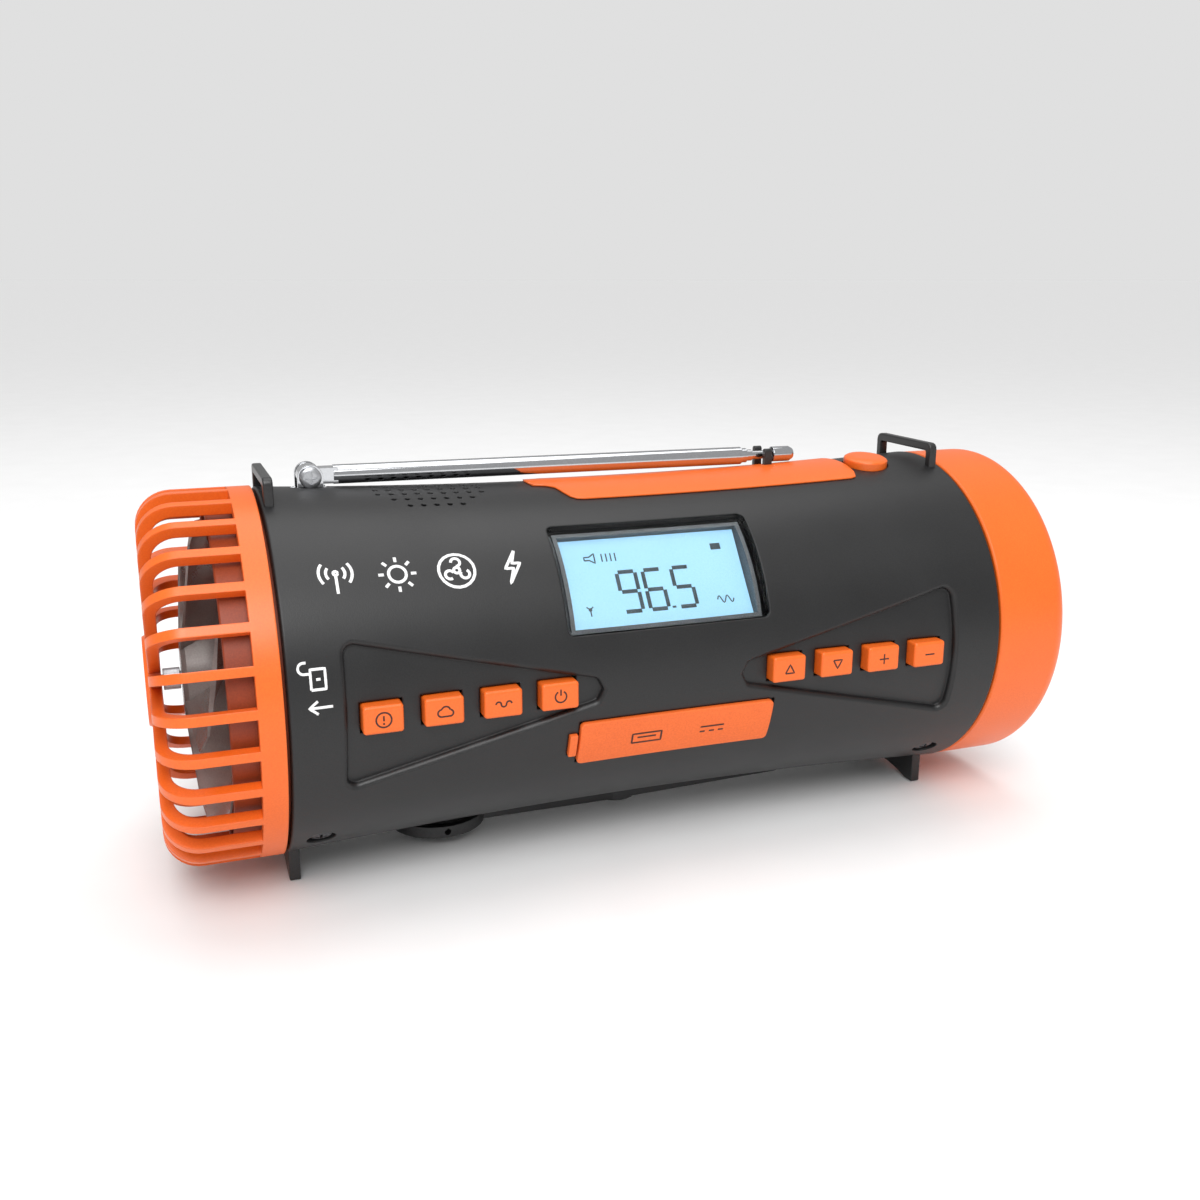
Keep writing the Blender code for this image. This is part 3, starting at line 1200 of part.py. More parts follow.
# ------------------------------------------------------------------ crank and generator
def crank_arm():
    """Flat arm under the barrel with a hub, a ring for the knob and a plain tail."""
    top, bottom = -CRANK_TOP, -CRANK_TOP - CRANK_THICKNESS
    tail = CRANK_PLACE + CRANK_TAIL
    wide, narrow = CRANK_HALF_WIDTH, CRANK_TAIL_HALF_WIDTH
    blade = [(KNOB_PLACE, -wide), (CRANK_PLACE, -wide)]
    blade += disc_outline(narrow, 8, (tail - narrow, 0), start=-90, sweep=180)
    blade += [(CRANK_PLACE, wide), (KNOB_PLACE, wide)]
    pivot = (CRANK_PLACE, 0, -CRANK_TOP)
    mesh = bmesh.new()
    add_prism(mesh, blade, bottom, top)
    arm = finish("crank_arm", mesh, "black_plastic", pivot)
    mesh = bmesh.new()
    add_prism(mesh, disc_outline(CRANK_HUB_RADIUS, 20, (CRANK_PLACE, 0)), bottom - KNOB_RING_DROP, top)
    add_prism(mesh, disc_outline(KNOB_RING_RADIUS, 30, (KNOB_PLACE, 0)), bottom - KNOB_RING_DROP, top)
    combine(arm, cutter("crank_bosses", mesh), "UNION")
    mesh = bmesh.new()
    below, above = bottom - 0.0020, top + 0.0010
    hole, ledge = KNOB_RADIUS + GAP, top - KNOB_FLANGE - GAP
    add_prism(mesh, disc_outline(hole, 26, (KNOB_PLACE, 0)), below, above)
    add_prism(mesh, disc_outline(CRANK_SCREW_RADIUS + GAP, 16, (CRANK_PLACE, 0)), below, above)
    combine(arm, cutter("crank_holes", mesh))
    mesh = bmesh.new()
    add_prism(mesh, disc_outline(hole + KNOB_LEDGE, 26, (KNOB_PLACE, 0)), ledge, above)
    sink = bottom - KNOB_RING_DROP + CRANK_SCREW_SINK
    add_prism(mesh, disc_outline(CRANK_SCREW_HEAD + GAP, 24, (CRANK_PLACE, 0)), below, sink)
    combine(arm, cutter("crank_counterbores", mesh))


def crank_knob():
    """Dished finger cup that spins in the ring of the arm, kept in by its flange."""
    top, bottom = -CRANK_TOP, -CRANK_TOP - CRANK_THICKNESS - KNOB_RING_DROP
    flange = KNOB_RADIUS + KNOB_LEDGE - GAP
    ledge = top - KNOB_FLANGE
    dish = bottom + KNOB_DISH
    outline = [(dish, 0), (dish, KNOB_RADIUS * 0.55), (bottom, KNOB_RADIUS * 0.85),
               (bottom, KNOB_RADIUS), (ledge, KNOB_RADIUS), (ledge, flange), (top, flange), (top, 0)]
    mesh = bmesh.new()
    add_turned(mesh, outline, 26, along_z((KNOB_PLACE, 0)))
    finish("crank_knob", mesh, "black_plastic", (KNOB_PLACE, 0, top))


def crank_screw():
    """Screw from below that holds the arm on the gear's shaft."""
    head = -CRANK_TOP - CRANK_THICKNESS - KNOB_RING_DROP + CRANK_SCREW_SINK - GAP
    radius, tip = CRANK_SCREW_RADIUS, -CRANK_SHAFT_END + 0.0070
    face, edge, rim = head - 0.0009, head - 0.0004, CRANK_SCREW_HEAD
    outline = [(face, 0), (face, rim * 0.8), (edge, rim),
               (head, rim), (head, radius), (tip, radius), (tip, 0)]
    mesh = bmesh.new()
    add_turned(mesh, outline, 20, along_z((CRANK_PLACE, 0)))
    finish("crank_screw", mesh, "steel", (CRANK_PLACE, 0, head))


def gear_outline(teeth, turn=0.0):
    """Involute gear profile with a little backlash, a tooth centred on the turn."""
    pitch = teeth * GEAR_PITCH
    base = pitch * math.cos(math.radians(20))
    tip, root = pitch + 0.85 * GEAR_MODULE, pitch - 1.15 * GEAR_MODULE
    backlash = 0.00012

    def involute(radius):
        slope = math.acos(min(1.0, base / radius))
        return math.tan(slope) - slope

    half_pitch = (math.pi * GEAR_MODULE / 4 - backlash) / pitch + involute(pitch)
    flank = [(radius, half_pitch - involute(max(radius, base))) for radius in (root, tip)]
    outline = []
    for tooth in range(teeth):
        middle = math.radians(turn) + 2 * math.pi * tooth / teeth
        points = [(radius, middle - half) for radius, half in flank]
        points += [(radius, middle + half) for radius, half in reversed(flank)]
        outline += [(radius * math.cos(a), radius * math.sin(a)) for radius, a in points]
    return outline


def shifted(outline, x):
    """Move an outline along the barrel."""
    return [(u + x, v) for u, v in outline]


def crank_gear():
    """Large gear on the crank's shaft, which comes up through the bush."""
    low, high = LOWER_DECK, LOWER_DECK + GEAR_FACE
    place = (CRANK_PLACE, 0)
    mesh = bmesh.new()
    add_prism(mesh, shifted(gear_outline(CRANK_TEETH), CRANK_PLACE), low, high)
    gear = finish("crank_gear", mesh, "white_nylon", (CRANK_PLACE, 0, low))
    mesh = bmesh.new()
    bottom, deep = -CRANK_SHAFT_END, -CRANK_SHAFT_END + 0.0080
    bore, shaft, stub = CRANK_SCREW_RADIUS + GAP, CRANK_SHAFT_RADIUS, GEAR_STUB_RADIUS
    end = CAGE_UNDERSIDE + CAGE_PLATE - GAP
    step = high + GAP
    outline = [(bottom, bore), (bottom, shaft), (step, shaft), (step, stub), (end, stub),
               (end, 0), (deep, 0), (deep, bore)]
    add_turned(mesh, outline, 24, along_z(place))
    combine(gear, cutter("crank_gear_shaft", mesh), "UNION")


def idler_gear():
    """Compound idler: a pinion driven by the crank gear under a larger gear."""
    low = LOWER_DECK
    middle = UPPER_DECK
    mesh = bmesh.new()
    half_tooth = 180 / PINION_TEETH
    add_prism(mesh, shifted(gear_outline(PINION_TEETH, half_tooth), IDLER_PLACE), low, middle + 0.0005)
    gear = finish("idler_gear", mesh, "white_nylon", (IDLER_PLACE, 0, low))
    mesh = bmesh.new()
    add_prism(mesh, shifted(gear_outline(IDLER_TEETH), IDLER_PLACE), middle, middle + GEAR_FACE)
    combine(gear, cutter("idler_wheel", mesh), "UNION")
    mesh = bmesh.new()
    stub = disc_outline(GEAR_STUB_RADIUS, 16, (IDLER_PLACE, 0))
    add_prism(mesh, stub, low - 0.0020, CAGE_UNDERSIDE + CAGE_PLATE - GAP)
    combine(gear, cutter("idler_stub", mesh), "UNION")


def generator():
    """Generator on top of the gear cage, and the pinion on its shaft below."""
    bottom = CAGE_UNDERSIDE + CAGE_PLATE + GAP
    top = bottom + GENERATOR_HEIGHT
    shaft, bore = 0.0010, 0.0010 + GAP
    deep = bottom + 0.0100
    mesh = bmesh.new()
    outline = [(bottom, bore), (bottom, GENERATOR_RADIUS), (top, GENERATOR_RADIUS), (top, 0),
               (deep, 0), (deep, bore)]
    add_turned(mesh, outline, 32, along_z((GENERATOR_PLACE, 0)))
    finish("generator", mesh, "steel")

    mesh = bmesh.new()
    half_tooth = 180 / PINION_TEETH
    outline = shifted(gear_outline(PINION_TEETH, half_tooth), GENERATOR_PLACE)
    add_prism(mesh, outline, UPPER_DECK, UPPER_DECK + GEAR_FACE)
    pinion = finish("generator_pinion", mesh, "bronze", (GENERATOR_PLACE, 0, UPPER_DECK))
    mesh = bmesh.new()
    add_prism(mesh, disc_outline(shaft, 12, (GENERATOR_PLACE, 0)), UPPER_DECK - 0.0005, deep - GAP)
    combine(pinion, cutter("generator_shaft", mesh), "UNION")


def gear_cage():
    """Bent steel bridge over the gears that carries their shafts and the generator."""
    low, high = CAGE_UNDERSIDE, CAGE_UNDERSIDE + CAGE_PLATE
    outer = CAGE_HALF_WIDTH
    inner = outer - CAGE_WALL
    floor = -math.sqrt((BODY_WAIST_RADIUS - SHELL_WALL) ** 2 - outer ** 2) + 2 * GAP
    outline = [(-outer, high), (-outer, floor), (-inner, floor), (-inner, low), (inner, low),
               (inner, floor), (outer, floor), (outer, high)]
    start = CRANK_PLACE - CRANK_TEETH * GEAR_PITCH - 0.0020
    end = GENERATOR_PLACE + GENERATOR_RADIUS + 0.0015
    mesh = bmesh.new()
    add_prism(mesh, outline, start, end, FACE_END)
    cage = finish("gear_cage", mesh, "steel")
    mesh = bmesh.new()
    for place in (CRANK_PLACE, IDLER_PLACE):
        add_prism(mesh, disc_outline(GEAR_STUB_RADIUS + GAP, 16, (place, 0)), low - 0.001, high + 0.001)
    add_prism(mesh, disc_outline(0.0030, 16, (GENERATOR_PLACE, 0)), low - 0.001, high + 0.001)
    combine(cage, cutter("cage_holes", mesh))


def crank_bush():
    """Flanged bronze bush for the crank's shaft in the bottom of the shell."""
    bore = CRANK_SHAFT_RADIUS + GAP
    barrel = bore + BUSH_WALL
    flange = barrel + BUSH_FLANGE
    inside = BODY_WAIST_RADIUS - SHELL_WALL
    seat = -math.sqrt(inside ** 2 - flange ** 2) + GAP
    bottom = -BODY_WAIST_RADIUS + GAP
    lip = seat + 0.0012
    outline = [(bottom, bore), (bottom, barrel), (seat, barrel), (seat, flange), (lip, flange), (lip, bore)]
    mesh = bmesh.new()
    add_turned(mesh, outline, 24, along_z((CRANK_PLACE, 0)))
    finish("crank_bush", mesh, "bronze")


def build_radio():
    """Clear the scene and build every piece of the radio."""
    for old in list(bpy.data.objects):
        bpy.data.objects.remove(old, do_unlink=True)
    stand_radio()
    front_shell()
    rear_cover()
    case_screws()
    top_panel()
    window_and_display()
    front_keys()
    torch_button()
    port_flap()
    sockets()
    main_board()
    speaker()
    battery_pack()
    fan_guard()
    fan_bulkhead()
    fan_drive()
    torch_head()
    loops_and_feet()
    antenna_bracket()
    antenna_clip()
    antenna_rod()
    crank_arm()
    crank_knob()
    crank_screw()
    crank_gear()
    idler_gear()
    generator()
    gear_cage()
    crank_bush()


build_radio()
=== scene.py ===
"""Cylindrical emergency radio: fan and guard at the left end, torch at the right end."""
import math

import bpy
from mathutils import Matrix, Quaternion, Vector


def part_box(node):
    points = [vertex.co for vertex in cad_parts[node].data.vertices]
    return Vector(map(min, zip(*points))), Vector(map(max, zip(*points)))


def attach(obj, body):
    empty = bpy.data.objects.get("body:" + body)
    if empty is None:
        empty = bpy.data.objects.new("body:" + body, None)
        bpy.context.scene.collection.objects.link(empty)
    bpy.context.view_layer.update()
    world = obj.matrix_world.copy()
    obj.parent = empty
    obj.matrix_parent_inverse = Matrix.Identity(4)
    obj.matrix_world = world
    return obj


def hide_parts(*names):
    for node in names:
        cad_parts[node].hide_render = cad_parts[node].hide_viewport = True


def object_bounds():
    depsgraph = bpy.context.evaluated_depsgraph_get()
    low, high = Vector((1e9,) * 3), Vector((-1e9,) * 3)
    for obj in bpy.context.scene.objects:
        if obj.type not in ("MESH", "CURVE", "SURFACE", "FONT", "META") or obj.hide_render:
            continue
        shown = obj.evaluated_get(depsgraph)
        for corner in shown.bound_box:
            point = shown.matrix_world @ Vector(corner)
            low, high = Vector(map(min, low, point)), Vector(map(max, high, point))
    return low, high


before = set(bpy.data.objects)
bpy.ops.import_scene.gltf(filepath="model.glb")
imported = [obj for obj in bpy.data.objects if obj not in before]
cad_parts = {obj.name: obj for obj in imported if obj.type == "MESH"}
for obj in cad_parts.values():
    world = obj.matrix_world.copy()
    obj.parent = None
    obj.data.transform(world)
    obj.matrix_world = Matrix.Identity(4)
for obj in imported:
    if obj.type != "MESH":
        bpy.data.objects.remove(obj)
frame_box = [list(corner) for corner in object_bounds()]


# ---------------------------------------------------------------- camera
# The viewer stands in front of the radio, a little to its left and above it.
bpy.ops.object.camera_add(location=(-0.10847, -0.28603, 0.13737))
camera = bpy.context.object
camera.name = "viewer"
camera.rotation_euler = (math.radians(75.204), math.radians(-0.147), math.radians(-20.49))
camera.data.lens = 37.27
camera.data.sensor_width = 36.0
camera.data.clip_start = 0.01
bpy.context.scene.camera = camera


# ---------------------------------------------------------------- front shell
# The front half of the moulded case: a waisted barrel of textured charcoal
# plastic, 2.6 mm thick, with two sunk key fields, the window opening, a grille
# above the speaker and holes for the keys, the torch button and the sockets.
BARREL_START = frame_box[0][0] + 0.0268
BARREL_LENGTH = 0.1737
AXIS_HEIGHT = 0.0476
END_RADIUS = 0.0424
WAIST_RADIUS = 0.0400
WALL = 0.0026
COVER_PLANE = 0.0151
SEAT = 0.0003
CHARCOAL = (0.0105, 0.0105, 0.0110, 1.0)
CHARCOAL_DEEP = (0.0060, 0.0060, 0.0064, 1.0)


def nothing_selected():
    """Leave edit mode with nothing selected."""
    if bpy.context.object is not None and bpy.context.object.mode != "OBJECT":
        bpy.ops.object.mode_set(mode="OBJECT")
    bpy.ops.object.select_all(action="DESELECT")


def take(piece):
    """Make a piece the only one selected."""
    nothing_selected()
    piece.select_set(True)
    bpy.context.view_layer.objects.active = piece


def settle(piece):
    """Put a piece's place, turn and size into its mesh."""
    take(piece)
    bpy.ops.object.transform_apply(location=True, rotation=True, scale=True)


def barrel_radius(x):
    """Outer radius of the barrel at a distance from its left end."""
    half = BARREL_LENGTH / 2
    return WAIST_RADIUS + (END_RADIUS - WAIST_RADIUS) * ((x - half) / half) ** 2


def on_barrel(x, angle, radius):
    """Point at an angle round the barrel, from the front towards the top."""
    turn = math.radians(angle)
    return Vector((BARREL_START + x, -radius * math.cos(turn), AXIS_HEIGHT + radius * math.sin(turn)))


def turned(name, outline, steps, centre=(0.0, 0.0, AXIS_HEIGHT), along=(1, 0, 0), out=(0, -1, 0)):
    """Extrude an outline of (along, out) points from one point and spin it round the axis."""
    nothing_selected()
    bpy.ops.mesh.primitive_plane_add(size=0.001)
    piece = bpy.context.object
    piece.name = name
    piece.data.name = name
    bpy.ops.object.mode_set(mode="EDIT")
    bpy.ops.mesh.select_all(action="SELECT")
    bpy.ops.mesh.merge(type="CENTER")
    places = [Vector(centre) + Vector(along) * a + Vector(out) * r for a, r in outline]
    bpy.ops.transform.translate(value=places[0])
    for before, after in zip(places, places[1:]):
        bpy.ops.mesh.extrude_vertices_move(TRANSFORM_OT_translate={"value": after - before})
    bpy.ops.mesh.select_all(action="SELECT")
    bpy.ops.mesh.spin(steps=steps, angle=2 * math.pi, center=centre, axis=along)
    bpy.ops.mesh.select_all(action="SELECT")
    bpy.ops.mesh.remove_doubles(threshold=0.000002)
    bpy.ops.mesh.normals_make_consistent(inside=False)
    bpy.ops.object.mode_set(mode="OBJECT")
    return piece


def rounded(corners, radius, grow=0.0, steps=6):
    """Corners of a flat outline, each turned into an arc, with the whole outline grown outwards."""
    outline = []
    radii = radius if isinstance(radius, tuple) else (radius,) * len(corners)
    for index, corner in enumerate(corners):
        here, radius = Vector(corner), radii[index]
        before = (Vector(corners[index - 1]) - here).normalized()
        after = (Vector(corners[(index + 1) % len(corners)]) - here).normalized()
        half = before.angle(after) / 2
        centre = here + (before + after).normalized() * radius / math.sin(half)
        start, end = here + before * radius / math.tan(half), here + after * radius / math.tan(half)
        for step in range(steps + 1):
            chord = start.lerp(end, step / steps)
            outline.append(tuple(centre + (chord - centre).normalized() * (radius + grow)))
    return outline


def layers_on_barrel(name, layers, pitch=0.0030):
    """Stack outlines of (x, way up the skin), each at its height above the skin, round the barrel."""
    nothing_selected()
    outline = layers[0][0]
    bpy.ops.mesh.primitive_circle_add(vertices=len(outline), radius=0.01, fill_type="NGON")
    piece = bpy.context.object
    piece.name = name
    piece.data.name = name
    bpy.ops.object.mode_set(mode="EDIT")
    bpy.ops.mesh.select_all(action="SELECT")
    for _ in layers[1:]:
        bpy.ops.mesh.extrude_region_move(TRANSFORM_OT_translate={"value": (0, 0, 1)})
    bpy.ops.object.mode_set(mode="OBJECT")
    for level in range(len(layers)):
        ring = [vertex for vertex in piece.data.vertices if round(vertex.co.z) == level]
        ring.sort(key=lambda vertex: -math.atan2(vertex.co.x, vertex.co.y) % (2 * math.pi))
        for vertex, (x, s) in zip(ring, layers[level][0]):
            vertex.co = (x, s, level)
    bpy.ops.object.mode_set(mode="EDIT")
    for axis in (0, 1):
        places = [p[axis] for outline, _ in layers for p in outline]
        start, end = min(places), max(places)
        rows = max(1, math.ceil((end - start) / pitch))
        for row in range(1, rows):
            place, normal = [0.0, 0.0, 0.0], [0.0, 0.0, 0.0]
            place[axis], normal[axis] = start + (end - start) * row / rows, 1.0
            bpy.ops.mesh.select_all(action="SELECT")
            bpy.ops.mesh.bisect(plane_co=place, plane_no=normal)
    bpy.ops.object.mode_set(mode="OBJECT")
    for vertex in piece.data.vertices:
        x, s, level = vertex.co
        below = min(int(level + 0.0001), len(layers) - 2)
        height = layers[below][1] + (layers[below + 1][1] - layers[below][1]) * (level - below)
        vertex.co = on_barrel(x, math.degrees(s / WAIST_RADIUS), barrel_radius(x) + height)
    bpy.ops.object.mode_set(mode="EDIT")
    bpy.ops.mesh.select_all(action="SELECT")
    bpy.ops.mesh.normals_make_consistent(inside=False)
    bpy.ops.object.mode_set(mode="OBJECT")
    return piece


def plate_on_barrel(name, outline, low, high, pitch=0.0030):
    """Wrap a plate of one outline round the barrel, between two heights above its skin."""
    return layers_on_barrel(name, [(outline, low), (outline, high)], pitch)


def skin(x, angle):
    """A place on the skin as (x, way up the skin)."""
    return (x, math.radians(angle) * WAIST_RADIUS)


def round_corners(corners, radius, grow=0.0):
    """The rounded outline of corners given as (x, angle), as ways along the skin."""
    return rounded([skin(x, angle) for x, angle in corners], radius, grow)


def field_cutter(corners, depth=0.0016, lip=0.0011):
    """The cutter for a sunk field, whose walls roll over into the skin."""
    radii = (0.0020, 0.0020, 0.0030)
    layers = [(round_corners(corners, radii), -depth)]
    for turn in (0, 25, 50, 75):
        turn = math.radians(turn)
        layers.append((round_corners(corners, radii, lip * (1 - math.cos(turn))),
                       -lip + lip * math.sin(turn)))
    layers.append((layers[-1][0], 0.0030))
    return layers_on_barrel("field", layers)


def join(pieces, name):
    """Join pieces into one."""
    nothing_selected()
    for piece in pieces:
        piece.select_set(True)
    bpy.context.view_layer.objects.active = pieces[0]
    if len(pieces) > 1:
        bpy.ops.object.join()
    pieces[0].name = name
    return pieces[0]


def cut(piece, tool, operation="DIFFERENCE"):
    """Take a tool out of a piece, or add it, and throw the tool away."""
    take(piece)
    boolean = piece.modifiers.new("cut", "BOOLEAN")
    boolean.object = tool
    boolean.operation = operation
    boolean.solver = "EXACT"
    bpy.ops.object.modifier_apply(modifier="cut")
    bpy.data.objects.remove(tool)


def smooth(piece, angle=35.0, weighted=True):
    """Shade a piece smooth except over its edges."""
    take(piece)
    bpy.ops.object.shade_smooth_by_angle(angle=math.radians(angle))
    if weighted:
        weights = piece.modifiers.new("weights", "WEIGHTED_NORMAL")
        weights.keep_sharp = True
        bpy.ops.object.modifier_apply(modifier="weights")


def break_edges(piece, width, segments=3, angle=35.0):
    """Round a piece's sharp edges."""
    take(piece)
    bevel = piece.modifiers.new("edges", "BEVEL")
    bevel.width = width
    bevel.segments = segments
    bevel.limit_method = "ANGLE"
    bevel.angle_limit = math.radians(angle)
    bpy.ops.object.modifier_apply(modifier="edges")
    smooth(piece, angle)


def grained(name, light, dark, roughness, metallic=0.0, grain=2600.0, relief=0.00003, edge=0.0,
            spread=0.06):
    """A finish with fine grain in its colour, gloss and surface."""
    finish = bpy.data.materials.new(name)
    finish.use_nodes = True
    nodes, links = finish.node_tree.nodes, finish.node_tree.links
    shader = nodes["Principled BSDF"]
    shader.inputs["Metallic"].default_value = metallic
    place = nodes.new("ShaderNodeTexCoord")
    fine = nodes.new("ShaderNodeTexNoise")
    fine.inputs["Scale"].default_value = grain
    fine.inputs["Detail"].default_value = 2.0
    links.new(place.outputs["Object"], fine.inputs["Vector"])
    cloud = nodes.new("ShaderNodeTexNoise")
    cloud.inputs["Scale"].default_value = 55.0
    cloud.inputs["Detail"].default_value = 3.0
    links.new(place.outputs["Object"], cloud.inputs["Vector"])
    both = nodes.new("ShaderNodeMath")
    both.operation = "MULTIPLY_ADD"
    both.inputs[1].default_value = 0.35
    links.new(cloud.outputs["Fac"], both.inputs[0])
    links.new(fine.outputs["Fac"], both.inputs[2])
    ramp = nodes.new("ShaderNodeValToRGB")
    ramp.color_ramp.elements[0].position = 0.45
    ramp.color_ramp.elements[0].color = dark
    ramp.color_ramp.elements[1].position = 0.90
    ramp.color_ramp.elements[1].color = light
    links.new(both.outputs["Value"], ramp.inputs["Fac"])
    links.new(ramp.outputs["Color"], shader.inputs["Base Color"])
    gloss = nodes.new("ShaderNodeMapRange")
    gloss.inputs["To Min"].default_value = roughness - spread
    gloss.inputs["To Max"].default_value = roughness + spread
    links.new(cloud.outputs["Fac"], gloss.inputs["Value"])
    links.new(gloss.outputs["Result"], shader.inputs["Roughness"])
    bump = nodes.new("ShaderNodeBump")
    bump.inputs["Distance"].default_value = relief
    bump.inputs["Strength"].default_value = 0.5
    links.new(fine.outputs["Fac"], bump.inputs["Height"])
    if edge:
        soft = nodes.new("ShaderNodeBevel")
        soft.samples = 6
        soft.inputs["Radius"].default_value = edge
        links.new(soft.outputs["Normal"], bump.inputs["Normal"])
    links.new(bump.outputs["Normal"], shader.inputs["Normal"])
    return finish


def dress(piece, finish, slot, body, *nodes):
    """Give a piece its finish, the body it moves with and the frame nodes it stands for."""
    piece.data.materials.clear()
    piece.data.materials.append(finish)
    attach(piece, body)
    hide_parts(*nodes)
    nothing_selected()


def barrel_blank(name):
    """The whole barrel as a tube with its wall."""
    half_steps = 44
    stations = [BARREL_LENGTH * step / half_steps for step in range(half_steps + 1)]
    chamfer = 0.0004
    outer = [(chamfer + (BARREL_LENGTH - 2 * chamfer) * x / BARREL_LENGTH,
              barrel_radius(x)) for x in stations]
    outer = [(0.0, END_RADIUS - chamfer)] + outer + [(BARREL_LENGTH, END_RADIUS - chamfer)]
    inner = [(x, barrel_radius(x) - WALL) for x in stations[::2]]
    loop = outer + inner[::-1] + outer[:1]
    return turned(name, loop, 192, centre=(BARREL_START, 0.0, AXIS_HEIGHT))


def keep_side(piece, place, normal):
    """Saw a piece through a plane and keep the side behind the plane's normal."""
    take(piece)
    bpy.ops.object.mode_set(mode="EDIT")
    bpy.ops.mesh.select_all(action="SELECT")
    bpy.ops.mesh.bisect(plane_co=place, plane_no=normal, clear_outer=True, use_fill=True)
    bpy.ops.object.mode_set(mode="OBJECT")


def drill(x, angle, radius, depth=0.012, sides=20, height=0.0):
    """A round cutter that stands square on the barrel's skin."""
    place = on_barrel(x, angle, barrel_radius(x) + height)
    nothing_selected()
    bpy.ops.mesh.primitive_cylinder_add(vertices=sides, radius=radius, depth=depth, location=place,
                                        rotation=(math.radians(90 - angle), 0, 0))
    settle(bpy.context.object)
    return bpy.context.object


def box(name, low, high):
    """A block between two corners."""
    nothing_selected()
    low, high = Vector(low), Vector(high)
    bpy.ops.mesh.primitive_cube_add(size=1.0, location=(low + high) / 2)
    block = bpy.context.object
    block.name = name
    block.data.name = name
    bpy.ops.transform.resize(value=high - low)
    settle(block)
    return block


KEY_FIELDS = (((0.0121, 22.6), (0.0117, -23.6), (0.0788, -0.7)),
              ((0.1606, 22.0), (0.1615, -24.4), (0.0940, -0.9)))
WINDOW = ((0.0613, 17.5), (0.1111, 17.5), (0.1111, 56.9), (0.0613, 56.9))
KEY_HALF = Vector((0.0043, 0.0, 0.0031))
KEY_GAP = Vector((0.0003, 0.0, 0.0003))
WELL_LEFT = 0.0068
WELL_RIGHT = BARREL_LENGTH - 0.0091
WELL_RADIUS = 0.0033
WELL_DEPTH = 0.0028
WELL_ANGLE = 49.5
KEYS = ("key_sos", "key_weather", "key_band", "key_power",
        "key_tune_up", "key_tune_down", "key_volume_up", "key_volume_down")
front_shell = barrel_blank("front_shell_skin")
keep_side(front_shell, (0, COVER_PLANE, 0), (0, 1, 0))
cut(front_shell, plate_on_barrel("opening", round_corners(WINDOW, 0.0016), -0.008, 0.004))
holes = []
for key in KEYS:
    low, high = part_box(key)
    face = Vector(((low.x + high.x) / 2, low.y, (low.z + high.z) / 2))
    room = KEY_HALF + KEY_GAP
    holes.append(box("key_hole", face - room - Vector((0, 0.003, 0)),
                     face + room + Vector((0, 0.010, 0))))
for node in ("usb_socket", "dc_jack"):
    low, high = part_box(node)
    holes.append(box("socket_hole", (low.x - SEAT, low.y - 0.009, low.z - SEAT),
                     (high.x + SEAT, high.y, high.z + SEAT)))
pocket = ((0.0610, -23.8), (0.0634, -23.8), (0.0634, -27.8), (0.1124, -27.8), (0.1124, -10.9),
          (0.0634, -10.9),
          (0.0634, -15.0), (0.0610, -15.0))
pocket = [skin(x, angle) for x, angle in pocket]
cut(front_shell, plate_on_barrel("flap_pocket", pocket, -0.0009, 0.004))
cut(front_shell, join(holes, "holes"))
cut(front_shell, join([field_cutter(field) for field in KEY_FIELDS], "fields"))
holes = []
for row, count in enumerate((5, 7, 9, 9, 9, 9, 9, 7, 5)):
    for place in range(count):
        holes.append(drill(0.0386 + (place - (count - 1) / 2) * 0.00305, 90 + (row - 4) * 4.6, 0.00065,
                           sides=10))
holes.append(drill(0.1554, 82.6, 0.0060, sides=48))
for x in (WELL_LEFT, WELL_RIGHT):
    holes.append(drill(x, -WELL_ANGLE, WELL_RADIUS, depth=WELL_DEPTH, sides=32))
cut(front_shell, join(holes, "holes"))
for node in ("antenna_bracket", "antenna_clip"):
    low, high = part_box(node)
    room = Vector((SEAT, SEAT, 0.0))
    cut(front_shell, box("seat", low - room, high + room))
smooth(front_shell, 30.0)
case_plastic = grained("case_plastic", CHARCOAL, CHARCOAL_DEEP, 0.42, grain=3200.0, relief=0.00004,
                       edge=0.0006)
dress(front_shell, case_plastic, "charcoal_plastic", "root", "front_shell")


# ---------------------------------------------------------------- rear cover
# The back third of the case, screwed to the front shell at its four corners.
# The same plastic and wall, closed all over.
rear_cover = barrel_blank("rear_cover_skin")
keep_side(rear_cover, (0, COVER_PLANE + SEAT, 0), (0, -1, 0))
wells = [drill(x, side * (180 - WELL_ANGLE), WELL_RADIUS, depth=WELL_DEPTH, sides=32)
         for x in (WELL_LEFT, WELL_RIGHT) for side in (1, -1)]
cut(rear_cover, join(wells, "wells"))
smooth(rear_cover, 30.0)
dress(rear_cover, case_plastic, "charcoal_plastic", "root", "rear_cover")


# ---------------------------------------------------------------- fan guard
# A basket of thirty bent bars between a broad band and a flat hub disc, moulded
# in one piece of satin orange plastic. It turns a little and pulls off.
ORANGE = (0.86, 0.150, 0.014, 1.0)
ORANGE_DEEP = (0.79, 0.125, 0.011, 1.0)
GUARD_RADIUS = 0.04275
GUARD_REACH = 0.0260
GUARD_WALL = 0.0026
GUARD_CORNER = 0.0080
BARS = 30
BAR_HALF = 0.00105
SLOT_INNER = 0.0130
SLOT_OUTER = 0.0470
SLOT_START = 0.0280
SLOT_END = 0.0060
bends = [math.radians(90 * step / 10) for step in range(11)]
outer = [(-(GUARD_REACH - GUARD_CORNER) - GUARD_CORNER * math.sin(a),
          GUARD_RADIUS - GUARD_CORNER * (1 - math.cos(a))) for a in bends]
bend = GUARD_CORNER - GUARD_WALL
inner = [(-(GUARD_REACH - GUARD_CORNER) - bend * math.sin(a),
          GUARD_RADIUS - GUARD_WALL - bend * (1 - math.cos(a))) for a in bends]
